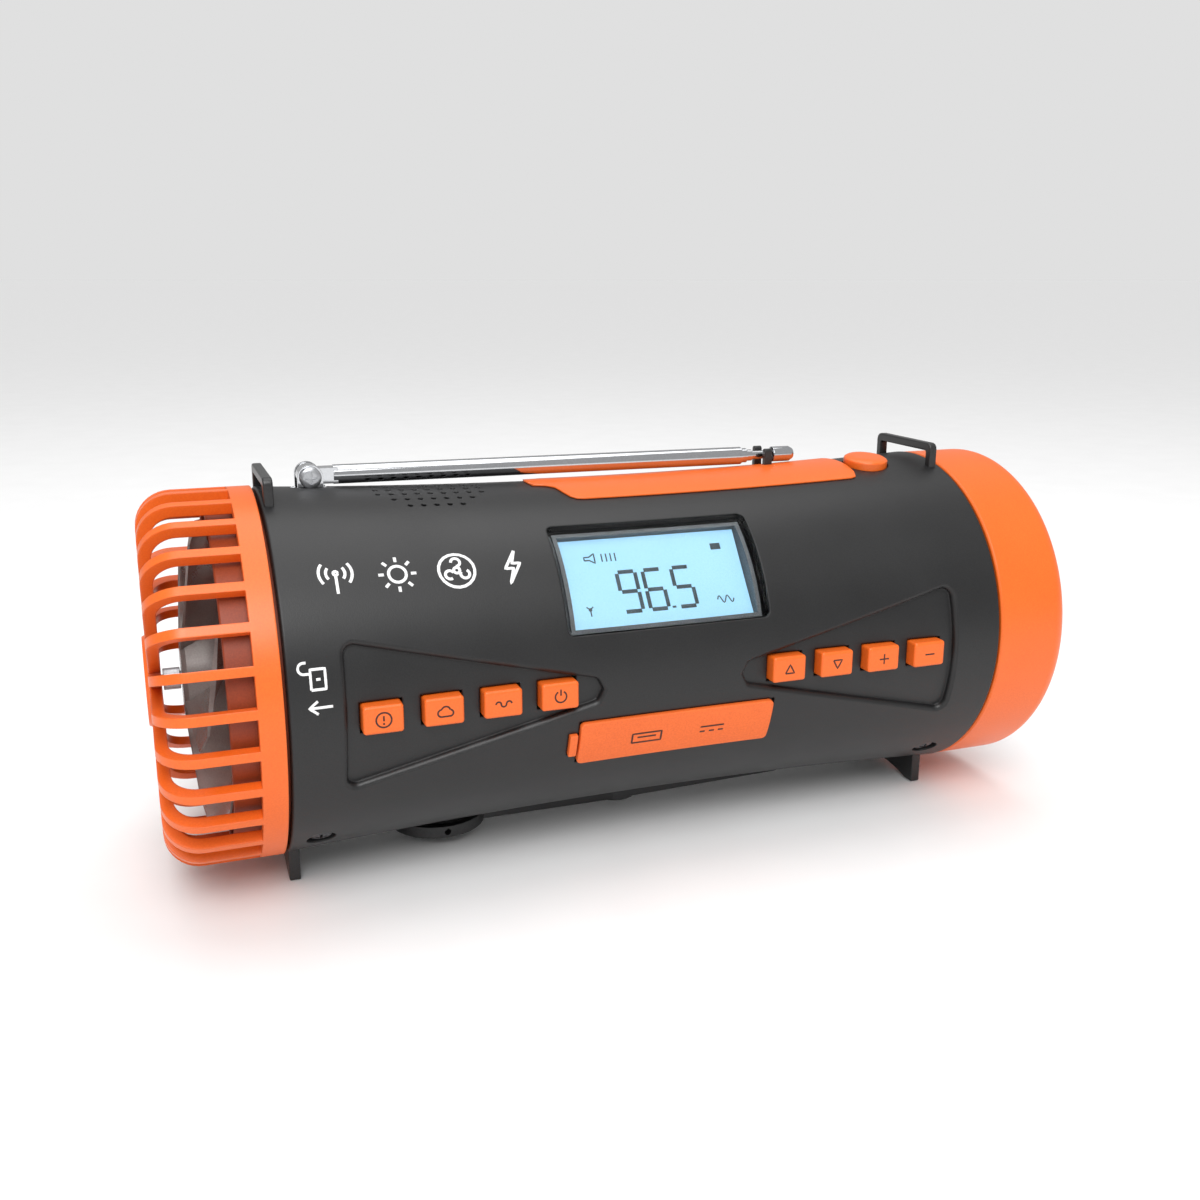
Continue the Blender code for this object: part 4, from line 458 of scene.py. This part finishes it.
hub = [(-GUARD_REACH, 0.0105), (-GUARD_REACH - 0.0008, 0.0101), (-GUARD_REACH - 0.0008, 0.0),
       (-GUARD_REACH + GUARD_WALL, 0.0)]
outline = [(-0.0008, GUARD_RADIUS - GUARD_WALL), (-0.0008, GUARD_RADIUS)] + outer + hub + inner[::-1]
outline.append(outline[0])
guard = turned("fan_guard_basket", outline, 180, centre=(BARREL_START, 0.0, AXIS_HEIGHT))
slots = []
for bar in range(BARS):
    first, second = math.radians(5.1 + bar * 12), math.radians(17.1 + bar * 12)
    nothing_selected()
    bpy.ops.mesh.primitive_plane_add(size=1.0)
    slot = bpy.context.object
    corners = []
    for turn, side, reach in ((first, 1, SLOT_INNER), (first, 1, SLOT_OUTER),
                              (second, -1, SLOT_OUTER), (second, -1, SLOT_INNER)):
        corners.append(Vector((BARREL_START - SLOT_START,
                               -reach * math.cos(turn) + side * BAR_HALF * math.sin(turn),
                               AXIS_HEIGHT + reach * math.sin(turn) + side * BAR_HALF * math.cos(turn))))
    for vertex, corner in zip(slot.data.vertices, (corners[0], corners[1], corners[3], corners[2])):
        vertex.co = corner
    bpy.ops.object.mode_set(mode="EDIT")
    bpy.ops.mesh.select_all(action="SELECT")
    bpy.ops.mesh.extrude_region_move(TRANSFORM_OT_translate={"value": (SLOT_START - SLOT_END, 0, 0)})
    bpy.ops.mesh.select_all(action="SELECT")
    bpy.ops.mesh.normals_make_consistent(inside=False)
    bpy.ops.object.mode_set(mode="OBJECT")
    slots.append(slot)
cut(guard, join(slots, "slots"))
smooth(guard, 30.0)
orange_plastic = grained("orange_plastic", ORANGE, ORANGE_DEEP, 0.36, relief=0.00001, edge=0.0004)
dress(guard, orange_plastic, "orange_plastic", "guard", "fan_guard")


# ---------------------------------------------------------------- torch cap
# The orange cap over the torch: a plain drum with a rounded outer edge and a
# mouth that funnels in to the lens. It is screwed to the case from inside.
CAP_START = BARREL_START + BARREL_LENGTH + 0.0006
CAP_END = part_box("torch_bezel")[1].x
lens_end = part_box("torch_lens")[1].x + 0.0002
CAP_RADIUS = 0.0423
corner = 0.0045
arc = [(CAP_END - corner + corner * math.sin(math.radians(9 * step)),
        CAP_RADIUS - corner + corner * math.cos(math.radians(9 * step))) for step in range(11)]
outline = [(CAP_START, 0.0362), (CAP_START, 0.0419), (CAP_START + 0.0004, CAP_RADIUS)] + arc
outline += [(CAP_END, 0.0352), (CAP_END - 0.0006, 0.0344), (lens_end, 0.0340), (lens_end, 0.0362)]
outline.append(outline[0])
cap = turned("torch_cap", outline, 160)
smooth(cap, 30.0)
dress(cap, orange_plastic, "orange_plastic", "root", "torch_bezel")


def as_framed(node, name, edge=0.0, angle=35.0, segments=2):
    """Take over a frame piece's shape: merge its triangles, round its edges, shade it."""
    nothing_selected()
    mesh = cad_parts[node].data.copy()
    piece = bpy.data.objects.new(name, mesh)
    bpy.context.scene.collection.objects.link(piece)
    mesh.name = name
    take(piece)
    bpy.ops.object.mode_set(mode="EDIT")
    bpy.ops.mesh.select_all(action="SELECT")
    bpy.ops.mesh.remove_doubles(threshold=0.000002)
    bpy.ops.mesh.select_all(action="SELECT")
    bpy.ops.mesh.dissolve_limited(angle_limit=math.radians(0.5))
    bpy.ops.object.mode_set(mode="OBJECT")
    if edge:
        break_edges(piece, edge, segments, angle)
    else:
        smooth(piece, angle)
    return piece


clear_plastic = grained("clear_plastic", (0.93, 0.96, 0.97, 1.0), (0.90, 0.94, 0.95, 1.0), 0.05,
                        relief=0.0, spread=0.02)
clear_shader = clear_plastic.node_tree.nodes["Principled BSDF"]
clear_shader.inputs["Transmission Weight"].default_value = 1.0
clear_shader.inputs["IOR"].default_value = 1.12
dress(as_framed("torch_lens", "torch_lens_disc", 0.0002), clear_plastic, "clear_plastic", "root",
      "torch_lens")
mirror = grained("mirror_plating", (0.92, 0.93, 0.94, 1.0), (0.86, 0.87, 0.88, 1.0), 0.08, 1.0,
                 relief=0.0, spread=0.03)
dress(as_framed("torch_reflector", "torch_reflector_bowl"), mirror, "mirror_plastic", "root",
      "torch_reflector")
led = grained("led_phosphor", (0.95, 0.85, 0.30, 1.0), (0.88, 0.76, 0.22, 1.0), 0.35)
dress(as_framed("torch_led", "torch_led_board", 0.0001), led, "led_yellow", "root", "torch_led")


# ---------------------------------------------------------------- top panel and torch button
# An orange panel let into the top, with a tongue and a finger dimple towards
# the fan, and the domed round torch button beside it.
panel_outline = [skin(0.0640, 84.6), skin(0.0652, 84.0), skin(0.0672, 83.2), skin(0.0688, 81.0),
                 skin(0.0698, 76.0),
                 skin(0.0708, 72.6), skin(0.0722, 70.9), skin(0.0740, 70.5), skin(0.1462, 70.5),
                 skin(0.1478, 71.2),
                 skin(0.1488, 75.0), skin(0.1493, 82.0), skin(0.1495, 90.0), skin(0.1493, 98.0),
                 skin(0.1488, 105.0),
                 skin(0.1478, 108.8), skin(0.1462, 109.5), skin(0.0740, 109.5), skin(0.0722, 109.1),
                 skin(0.0708, 107.4),
                 skin(0.0698, 104.0), skin(0.0688, 99.0), skin(0.0672, 96.8), skin(0.0652, 96.0),
                 skin(0.0640, 95.4),
                 skin(0.0636, 92.0), skin(0.0636, 88.0)]
panel = plate_on_barrel("top_panel_cover", panel_outline, 0.0, 0.0005, pitch=0.0025)
nothing_selected()
bpy.ops.mesh.primitive_uv_sphere_add(segments=32, ring_count=16, radius=1.0,
                                     location=on_barrel(0.0674, 90.0, 0.0417))
dimple = bpy.context.object
bpy.ops.transform.resize(value=(0.0024, 0.0034, 0.0011))
settle(dimple)
cut(panel, dimple)
break_edges(panel, 0.0003, 2)
dress(panel, orange_plastic, "orange_plastic", "root", "top_panel")
button = as_framed("torch_button", "torch_button_cap", 0.0005, 30.0, 4)
dress(button, orange_plastic, "orange_plastic", "torch_button_body", "torch_button")


# ---------------------------------------------------------------- keys
# Eight orange keys with rounded edges that stand up from the sunk fields, each
# with a dark symbol pressed into its face.
mark_ink = grained("mark_ink", (0.060, 0.012, 0.005, 1.0), (0.040, 0.009, 0.004, 1.0), 0.6, relief=0.0)


def circle(u, v, radius, start=0.0, sweep=360.0, steps=20):
    """Points on an arc, in degrees from the right, towards the top."""
    angles = [math.radians(start + sweep * step / steps) for step in range(steps + 1)]
    return [(u + radius * math.cos(a), v + radius * math.sin(a)) for a in angles]


def closely(points, pitch):
    """The same line with a point at least every pitch, so that it can follow a curved skin."""
    close = [points[0]]
    for before, after in zip(points, points[1:]):
        steps = max(1, math.ceil(math.dist(before, after) / pitch))
        close += [tuple(Vector(before).lerp(Vector(after),
                                            step / steps)) for step in range(1, steps + 1)]
    return close


def drawn(name, lines, width, place):
    """Draw lines of (u, v) points as flat strokes and put each point at place(u, v, w)."""
    nothing_selected()
    line = bpy.data.curves.new(name, "CURVE")
    line.dimensions = "3D"
    line.bevel_depth = width / 2
    line.bevel_resolution = 2
    line.use_fill_caps = True
    for points in lines:
        points = closely(points, 0.0004)
        stroke = line.splines.new("POLY")
        stroke.points.add(len(points) - 1)
        for point, (u, v) in zip(stroke.points, points):
            point.co = (u, v, 0.0, 1.0)
    piece = bpy.data.objects.new(name, line)
    bpy.context.scene.collection.objects.link(piece)
    take(piece)
    bpy.ops.object.convert(target="MESH")
    piece = bpy.context.object
    bpy.ops.object.mode_set(mode="EDIT")
    bpy.ops.mesh.select_all(action="SELECT")
    bpy.ops.mesh.remove_doubles(threshold=0.000001)
    bpy.ops.object.mode_set(mode="OBJECT")
    for vertex in piece.data.vertices:
        vertex.co = place(vertex.co.x, vertex.co.y, vertex.co.z / width)
    bpy.ops.object.mode_set(mode="EDIT")
    bpy.ops.mesh.select_all(action="SELECT")
    bpy.ops.mesh.normals_make_consistent(inside=False)
    bpy.ops.object.mode_set(mode="OBJECT")
    return piece


MM = 0.001
SYMBOLS = {
    "key_sos": [circle(0, 0, 1.25 * MM), [(0, -0.2 * MM), (0, 0.7 * MM)],
                circle(0, -0.65 * MM, 0.06 * MM, steps=6)],
    "key_weather": [circle(-0.55 * MM, -0.2 * MM, 0.62 * MM, 90, 180),
                    circle(0.15 * MM, 0.15 * MM, 0.75 * MM, 10, 150),
                    circle(0.85 * MM, -0.25 * MM, 0.55 * MM, -90, 170),
                    [(-0.55 * MM, -0.82 * MM), (0.85 * MM, -0.80 * MM)]],
    "key_band": [circle(-0.9 * MM, 0, 0.45 * MM, 180, -180), circle(0, 0, 0.45 * MM, 180, 180),
                 circle(0.9 * MM, 0, 0.45 * MM, 180, -180)],
    "key_power": [circle(0, 0, 1.0 * MM, 120, 300), [(0, 0.2 * MM), (0, 1.3 * MM)]],
    "key_tune_up": [[(-0.9 * MM, -0.75 * MM), (0.9 * MM, -0.75 * MM), (0, 0.85 * MM),
                     (-0.9 * MM, -0.75 * MM)]],
    "key_tune_down": [[(-0.9 * MM, 0.75 * MM), (0.9 * MM, 0.75 * MM), (0, -0.85 * MM),
                       (-0.9 * MM, 0.75 * MM)]],
    "key_volume_up": [[(-1.0 * MM, 0), (1.0 * MM, 0)], [(0, -1.0 * MM), (0, 1.0 * MM)]],
    "key_volume_down": [[(-1.0 * MM, 0), (1.0 * MM, 0)]],
}
KEY_HEIGHT = 0.0100
SYMBOL_SIZE = 1.3
for key in KEYS:
    low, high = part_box(key)
    middle = (low + high) / 2
    front = Vector((middle.x, low.y, middle.z))
    cap = box(key + "_cap", front - KEY_HALF, front + KEY_HALF + Vector((0, KEY_HEIGHT, 0)))
    break_edges(cap, 0.0007, 4)
    dress(cap, orange_plastic, "orange_plastic", key + "_body", key)
    symbol = drawn(key + "_symbol", SYMBOLS[key], 0.00042,
                   lambda u, v, w: Vector((middle.x + SYMBOL_SIZE * u, low.y + 0.00001 - 0.00003 * w,
                                           middle.z + SYMBOL_SIZE * v)))
    dress(symbol, mark_ink, "orange_plastic", key + "_body")


# ---------------------------------------------------------------- port flap and sockets
# A soft orange flap that is held by a tab at its left end and covers the USB
# socket and the round charging socket.
orange_rubber = grained("orange_rubber", (0.86, 0.155, 0.022, 1.0), (0.74, 0.120, 0.016, 1.0), 0.55,
                        relief=0.00003)
flap_outline = round_corners(((0.0636, -27.4), (0.1120, -27.4), (0.1120, -11.3), (0.0636, -11.3)),
                             0.0012)
flap = plate_on_barrel("port_flap_skin", flap_outline, -0.0006, 0.0010)
break_edges(flap, 0.0004, 3)
dress(flap, orange_rubber, "orange_rubber", "flap", "port_flap")
anchor = as_framed("flap_anchor", "flap_tab", 0.0003, 30.0, 3)
dress(anchor, orange_rubber, "orange_rubber", "root", "flap_anchor")
x = 0.0800
port = [[(x - 3.6 * MM, -1.3 * MM), (x + 3.6 * MM, -1.3 * MM), (x + 3.6 * MM, 1.3 * MM),
         (x - 3.6 * MM, 1.3 * MM),
         (x - 3.6 * MM, -1.3 * MM)], [(x - 2.3 * MM, 0.2 * MM), (x + 2.3 * MM, 0.2 * MM)]]
x = 0.0965
port += [[(x - 3.0 * MM, 0.8 * MM), (x + 3.0 * MM, 0.8 * MM)]]
port += [[(x + d * MM, -0.6 * MM), (x + (d + 1.3) * MM, -0.6 * MM)] for d in (-3.0, -0.65, 1.7)]
symbol = drawn("port_symbols", port, 0.00046,
               lambda u, v,
               w: on_barrel(u, -19.35 + math.degrees(v / 0.0412),
                            barrel_radius(u) + 0.00101 + 0.00003 * w))
dress(symbol, mark_ink, "orange_rubber", "flap")

plate_steel = grained("plate_steel", (0.62, 0.63, 0.65, 1.0), (0.50, 0.51, 0.53, 1.0), 0.32, 1.0)
black_plastic = grained("black_plastic", (0.022, 0.022, 0.023, 1.0), (0.012, 0.012, 0.012, 1.0), 0.34,
                        relief=0.00002, edge=0.0003)
dress(as_framed("usb_socket", "usb_socket_shell", 0.0001), plate_steel, "steel", "root", "usb_socket")
dress(as_framed("dc_jack", "dc_jack_body", 0.0001), black_plastic, "black_plastic", "root", "dc_jack")


# ---------------------------------------------------------------- window and display
# A clear pane set flush in the skin. Behind it, in a grey frame, a pale blue
# lit display with dark segments: a frequency, volume bars and a battery.
pane = plate_on_barrel("window_pane",
                       round_corners(((0.0616, 17.9), (0.1108, 17.9), (0.1108, 56.5), (0.0616, 56.5)),
                                     0.0015),
                       -0.0015, 0.0, pitch=0.0020)
smooth(pane, 35.0)
dress(pane, clear_plastic, "clear_plastic", "root", "lcd_window")
grey_plastic = grained("grey_plastic", (0.14, 0.14, 0.145, 1.0), (0.10, 0.10, 0.105, 1.0), 0.50)
dress(as_framed("lcd_frame", "display_frame", 0.0001), grey_plastic, "grey_plastic", "root",
      "lcd_frame")
display_glass = grained("display_glass", (0.36, 0.60, 0.80, 1.0), (0.31, 0.56, 0.77, 1.0), 0.3,
                        relief=0.0)
lit = display_glass.node_tree.nodes["Principled BSDF"]
lit.inputs["Emission Color"].default_value = (0.44, 0.76, 1.0, 1.0)
lit.inputs["Emission Strength"].default_value = 0.30
dress(as_framed("lcd_panel", "display_panel"), display_glass, "display_glass", "root", "lcd_panel")

DISPLAY_TURN = math.radians(36.5)
DISPLAY_FACE = 0.0352
display_ink = grained("display_ink", (0.06, 0.08, 0.09, 1.0), (0.045, 0.06, 0.07, 1.0), 0.5, relief=0.0)


def on_display(u, v, w):
    """A place on the display's face, from its middle."""
    out = Vector((0, -math.cos(DISPLAY_TURN), math.sin(DISPLAY_TURN)))
    up = Vector((0, math.sin(DISPLAY_TURN), math.cos(DISPLAY_TURN)))
    middle = Vector((BARREL_START + 0.0862, 0, AXIS_HEIGHT)) + out * (DISPLAY_FACE + 0.00005)
    return middle + Vector((u, 0, 0)) + up * v + out * w * 0.00004


def digit(value, u, v, tall):
    """Strokes of a seven-segment figure whose middle is at (u, v)."""
    wide, half, gap = tall * 0.23, tall / 2, 0.35 * MM
    bars = {"a": [(u - wide + gap, v + half), (u + wide - gap, v + half)],
            "b": [(u + wide, v + half - gap), (u + wide, v + gap)],
            "c": [(u + wide, v - gap), (u + wide, v - half + gap)],
            "d": [(u - wide + gap, v - half), (u + wide - gap, v - half)],
            "e": [(u - wide, v - gap), (u - wide, v - half + gap)],
            "f": [(u - wide, v + half - gap), (u - wide, v + gap)],
            "g": [(u - wide + gap, v), (u + wide - gap, v)]}
    return [bars[letter] for letter in {"9": "abcdfg", "6": "acdefg", "5": "acdfg"}[value]]


figures = digit("9", -0.0072, -0.0026, 0.0098) + digit("6", -0.0008, -0.0026, 0.0098)
figures += digit("5", 0.0064, -0.0026, 0.0098) + [[(0.0028, -0.0071), (0.0028, -0.0076)]]
dress(drawn("display_figures", figures, 0.00095, on_display), display_ink, "display_glass", "root")
small = [[(-0.0122 + bar * 0.0011, 0.0052), (-0.0122 + bar * 0.0011, 0.0072)] for bar in range(4)]
small += [[(-0.0165, 0.0058), (-0.0153, 0.0058), (-0.0140, 0.0050), (-0.0140, 0.0074),
           (-0.0153, 0.0066), (-0.0165, 0.0066), (-0.0165, 0.0058)]]
small += [[(-0.0176, -0.0062), (-0.0176, -0.0078)],
          [(-0.0184, -0.0055), (-0.0176, -0.0062), (-0.0168, -0.0055)],
          circle(-0.0176, -0.0062, 0.0003, steps=8)]
small += [[(0.0140 + step * 0.00030, -0.0066 + 0.0009 * math.sin(step * 0.9)) for step in range(15)]]
dress(drawn("display_marks", small, 0.00032, on_display), display_ink, "display_glass", "root")
battery = [[(0.0155, 0.0065), (0.0181, 0.0065)], [(0.0155, 0.0072), (0.0181, 0.0072)]]
dress(drawn("display_battery", battery, 0.0009, on_display), display_ink, "display_glass", "root")


# ---------------------------------------------------------------- printed marks
# White printing on the skin: an open padlock with the arrow that shows how the
# guard turns, and a row of plain signs for what the radio does.
print_white = grained("print_white", (0.86, 0.86, 0.86, 1.0), (0.78, 0.78, 0.78, 1.0), 0.5, relief=0.0)


def on_skin(u, v, w):
    """A place just above the skin: u along the barrel, v up the skin."""
    return on_barrel(u, math.degrees(v / WAIST_RADIUS), barrel_radius(u) + 0.00001 + 0.00004 * w)


x, v = skin(0.0066, 5.0)
arrow = [[(x - 2.2 * MM, v), (x + 2.4 * MM, v)],
         [(x - 0.6 * MM, v + 1.3 * MM), (x - 2.4 * MM, v), (x - 0.6 * MM, v - 1.3 * MM)]]
v = skin(x, 13.0)[1]
lock = [[(x - 1.7 * MM, v - 2.0 * MM), (x - 1.7 * MM, v + 2.0 * MM), (x + 1.3 * MM, v + 2.0 * MM),
         (x + 1.3 * MM, v - 2.0 * MM), (x - 1.7 * MM, v - 2.0 * MM)],
        [(x - 1.7 * MM, v + 1.2 * MM),
         (x - 3.0 * MM, v + 1.2 * MM)] + circle(x - 3.0 * MM, v + 2.3 * MM, 1.1 * MM, -90, -180, 12)
        + [(x - 2.4 * MM, v + 3.4 * MM)],
        [(x - 0.6 * MM, v), (x + 0.3 * MM, v)]]
dress(drawn("print_guard_mark", arrow + lock, 0.00062, on_skin), print_white, "charcoal_plastic",
      "root")

x, v = skin(0.0125, 42.0)
mast = [[(x, v - 3.6 * MM), (x, v + 0.6 * MM)]] + [circle(x, v + 1.0 * MM, r * MM, a, 80, 10)
        for r in (2.0, 3.5) for a in (-40, 140)] + [circle(x, v + 1.0 * MM, 0.45 * MM, steps=10)]
x = 0.0255
lamp = [circle(x, v, 1.9 * MM)] + [[(x + 2.9 * MM * math.cos(a), v + 2.9 * MM * math.sin(a)),
        (x + 4.1 * MM * math.cos(a),
         v + 4.1 * MM * math.sin(a))] for a in (math.radians(45 * k) for k in range(8))]
x = 0.0385
fan = [circle(x, v, 0.7 * MM, steps=10), circle(x, v, 4.0 * MM)]
for turn in (90, 210, 330):
    a = math.radians(turn)
    fan.append(circle(x + 1.95 * MM * math.cos(a), v + 1.95 * MM * math.sin(a), 1.0 * MM, turn + 180,
                      270, 14))
x = 0.0510
bolt = [[(x + 1.2 * MM, v + 4.0 * MM), (x - 1.6 * MM, v - 0.4 * MM), (x + 0.3 * MM, v - 0.4 * MM),
         (x - 1.0 * MM, v - 4.0 * MM), (x + 2.0 * MM, v + 0.8 * MM), (x + 0.1 * MM, v + 0.8 * MM),
         (x + 1.2 * MM, v + 4.0 * MM)]]
dress(drawn("print_signs", mast + lamp + fan + bolt, 0.00070, on_skin), print_white, "charcoal_plastic",
      "root")


# ---------------------------------------------------------------- fan and its bulkhead
# A smoky see-through impeller on a steel pin in front of an orange wall that
# carries the motor.
smoke = grained("smoke_plastic", (0.46, 0.42, 0.40, 1.0), (0.38, 0.345, 0.325, 1.0), 0.22, relief=0.0)
smoke_shader = smoke.node_tree.nodes["Principled BSDF"]
smoke_shader.inputs["Transmission Weight"].default_value = 0.55
smoke_shader.inputs["IOR"].default_value = 1.25
dress(as_framed("fan_impeller", "fan_impeller_wheel", 0.0002, 40.0, 2), smoke, "smoke_plastic",
      "impeller", "fan_impeller")
dress(as_framed("fan_shaft", "fan_pin", 0.0002, 30.0, 2), plate_steel, "steel", "impeller", "fan_shaft")
# The wall's orange plastic is coloured much darker than it is, as painted shade for the shadow that
# falls on it inside the guard.
wall_painted_shade = grained("wall_painted_shade", (0.30, 0.046, 0.006, 1.0), (0.23, 0.034, 0.004, 1.0), 0.50,
                       relief=0.00002)
dress(as_framed("fan_bulkhead", "fan_wall", 0.0003, 30.0, 2), wall_painted_shade, "orange_plastic", "root",
      "fan_bulkhead")
dress(as_framed("fan_motor", "fan_motor_can", 0.0003, 30.0, 2), plate_steel, "steel", "root",
      "fan_motor")


# ---------------------------------------------------------------- loops, feet and crank
# Glossy black plastic: two loops for a strap, two feet, and under the barrel
# the hand crank with its finger cup. The cup spins in the ring of the arm.
for node in ("strap_loop_left", "strap_loop_right"):
    dress(as_framed(node, node + "_bow", 0.0004, 30.0, 3), black_plastic, "black_plastic", "root", node)
for node in ("foot_left", "foot_right"):
    dress(as_framed(node, node + "_stand", 0.0003, 30.0, 3), black_plastic, "black_plastic", "root",
          node)
arm = as_framed("crank_arm", "crank_arm_lever", 0.0003, 30.0, 3)
low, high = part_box("crank_knob")
ring_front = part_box("crank_arm")[0].y
nothing_selected()
bpy.ops.mesh.primitive_cylinder_add(vertices=24, radius=0.0008, depth=0.0050,
                                    rotation=(math.radians(90), 0, 0),
                                    location=((low.x + high.x) / 2, ring_front,
                                              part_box("crank_arm")[0].z + 0.0014))
hole = bpy.context.object
settle(hole)
cut(arm, hole)
dress(arm, black_plastic, "black_plastic", "crank", "crank_arm")
dress(as_framed("crank_knob", "crank_finger_cup", 0.0003, 30.0, 3), black_plastic, "black_plastic",
      "knob", "crank_knob")


# ---------------------------------------------------------------- antenna
# A telescopic rod of polished chrome on a forked bracket, with a cross-headed
# screw as its pivot and a black clip that holds the folded rod.
chrome = grained("polished_chrome", (0.64, 0.65, 0.67, 1.0), (0.57, 0.58, 0.60, 1.0), 0.10, 1.0,
                 relief=0.0, spread=0.04)
for node, name, body in (("antenna_tube", "antenna_outer_tube", "antenna"),
                         ("antenna_section_1", "antenna_rod_1", "section_1"),
                         ("antenna_section_2", "antenna_rod_2", "section_2"),
                         ("antenna_section_3", "antenna_rod_3", "section_3"),
                         ("antenna_tip", "antenna_cap", "section_3"),
                         ("antenna_bracket", "antenna_fork", "root")):
    dress(as_framed(node, name, 0.0001, 30.0, 2), chrome, "chrome", body, node)
dress(as_framed("antenna_clip", "antenna_rest", 0.0002, 30.0, 2), black_plastic, "black_plastic",
      "root", "antenna_clip")


def cross_cut(piece, centre, out, reach, depth):
    """Cut a cross into a screw's head at a point, facing out."""
    out = Vector(out).normalized()
    for turn in (0.0, math.pi / 2):
        nothing_selected()
        bpy.ops.mesh.primitive_cube_add(size=1.0)
        tool = bpy.context.object
        tool.scale = (reach * 2, reach * 0.42, depth * 2)
        tool.rotation_mode = "QUATERNION"
        tool.rotation_quaternion = Quaternion(out, turn) @ out.to_track_quat("Z", "Y")
        tool.location = centre
        settle(tool)
        cut(piece, tool)


screw = as_framed("antenna_pivot_screw", "antenna_screw", 0.0002, 30.0, 2)
low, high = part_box("antenna_pivot_screw")
cross_cut(screw, Vector(((low.x + high.x) / 2, low.y, (low.z + high.z) / 2)), (0, -1, 0), 0.0014,
          0.0006)
dress(screw, plate_steel, "steel", "root", "antenna_pivot_screw")


# ---------------------------------------------------------------- case screws
# Small dark screws, sunk in wells at the corners of the case.
screw_steel = grained("blackened_steel", (0.10, 0.10, 0.105, 1.0), (0.06, 0.06, 0.065, 1.0), 0.38, 0.8)
for node, x, angle in (("front_screw_left", WELL_LEFT, -WELL_ANGLE),
                       ("front_screw_right", WELL_RIGHT, -WELL_ANGLE),
                       ("rear_upper_screw_left", WELL_LEFT, 180 - WELL_ANGLE),
                       ("rear_upper_screw_right", WELL_RIGHT, 180 - WELL_ANGLE),
                       ("rear_lower_screw_left", WELL_LEFT, WELL_ANGLE - 180),
                       ("rear_lower_screw_right", WELL_RIGHT, WELL_ANGLE - 180)):
    screw = as_framed(node, node + "_head", 0.0001, 30.0, 2)
    turn = math.radians(angle)
    cross_cut(screw, on_barrel(x, angle, barrel_radius(x) - 0.0004),
              (0, -math.cos(turn), math.sin(turn)), 0.0013, 0.0006)
    dress(screw, screw_steel, "steel", "root", node)
dress(as_framed("crank_screw", "crank_bolt", 0.0001, 30.0, 2), screw_steel, "steel", "crank",
      "crank_screw")


# ---------------------------------------------------------------- inside the case
# The parts that the case hides keep their frame shapes: gears and cage,
# generator, cells in their tray, circuit board and loudspeaker.
nylon = grained("white_nylon", (0.80, 0.79, 0.75, 1.0), (0.72, 0.71, 0.67, 1.0), 0.5)
bronze = grained("sintered_bronze", (0.55, 0.36, 0.16, 1.0), (0.45, 0.28, 0.12, 1.0), 0.42, 1.0)
board = grained("board_lacquer", (0.025, 0.18, 0.08, 1.0), (0.015, 0.12, 0.05, 1.0), 0.45)
sleeve = grained("cell_sleeve", (0.05, 0.18, 0.45, 1.0), (0.04, 0.14, 0.38, 1.0), 0.35)
cone = grained("speaker_paper", (0.035, 0.035, 0.035, 1.0), (0.02, 0.02, 0.02, 1.0), 0.65)
for node, finish, slot, body in (
        ("crank_gear", nylon, "white_nylon", "crank"), ("idler_gear", nylon, "white_nylon", "idler"),
        ("generator_pinion", bronze, "bronze", "generator_rotor"),
        ("crank_bush", bronze, "bronze", "root"),
        ("gear_cage", black_plastic, "black_plastic", "root"),
        ("generator", plate_steel, "steel", "root"),
        ("battery_cell_upper", sleeve, "cell_wrap", "root"),
        ("battery_cell_lower", sleeve, "cell_wrap", "root"),
        ("battery_tray", black_plastic, "black_plastic", "root"),
        ("main_board", board, "circuit_board", "root"),
        ("speaker", cone, "speaker_black", "root")):
    dress(as_framed(node, node + "_inside"), finish, slot, body, node)


# ---------------------------------------------------------------- floor and light
# A pale studio floor under large soft lamps.
nothing_selected()
bpy.ops.mesh.primitive_plane_add(size=40.0, location=(0, 0, -0.0002))
floor = bpy.context.object
floor.name = "studio_floor"
settle(floor)
floor.data.materials.append(grained("floor_paint", (0.92, 0.92, 0.92, 1.0), (0.90, 0.90, 0.90, 1.0),
                                    0.7, grain=40.0, relief=0.0))


def softbox(name, place, aim, size, power):
    """A square lamp that faces a point."""
    nothing_selected()
    bpy.ops.object.light_add(type="AREA", location=place)
    lamp = bpy.context.object
    lamp.name = name
    lamp.data.size = size
    lamp.data.energy = power
    lamp.rotation_euler = (Vector(aim) - Vector(place)).to_track_quat("-Z", "Y").to_euler()


softbox("lamp_above", (0.05, 0.10, 0.85), (0, 0, 0.05), 0.7, 3.0)
softbox("lamp_front", (-0.25, -0.80, 0.75), (0, 0, 0.05), 0.5, 3.5)
nothing_selected()
bpy.ops.object.light_add(type="SUN", rotation=(math.radians(38), 0, math.radians(-14)))
daylight = bpy.context.object
daylight.name = "lamp_far"
daylight.data.energy = 1.5
daylight.data.angle = math.radians(40)
SKY_GLOW = 0.48
SKY_SEEN = 0.745
world = bpy.data.worlds.new("studio")
bpy.context.scene.world = world
world.use_nodes = True
world.node_tree.nodes["Background"].inputs["Color"].default_value = (1.0, 1.0, 1.0, 1.0)
seen = world.node_tree.nodes.new("ShaderNodeLightPath")
bright = world.node_tree.nodes.new("ShaderNodeMath")
bright.operation = "MULTIPLY_ADD"
bright.inputs[1].default_value = SKY_SEEN - SKY_GLOW
bright.inputs[2].default_value = SKY_GLOW
world.node_tree.links.new(seen.outputs["Is Camera Ray"], bright.inputs[0])
world.node_tree.links.new(bright.outputs["Value"],
                          world.node_tree.nodes["Background"].inputs["Strength"])
bpy.context.scene.view_settings.view_transform = "Standard"
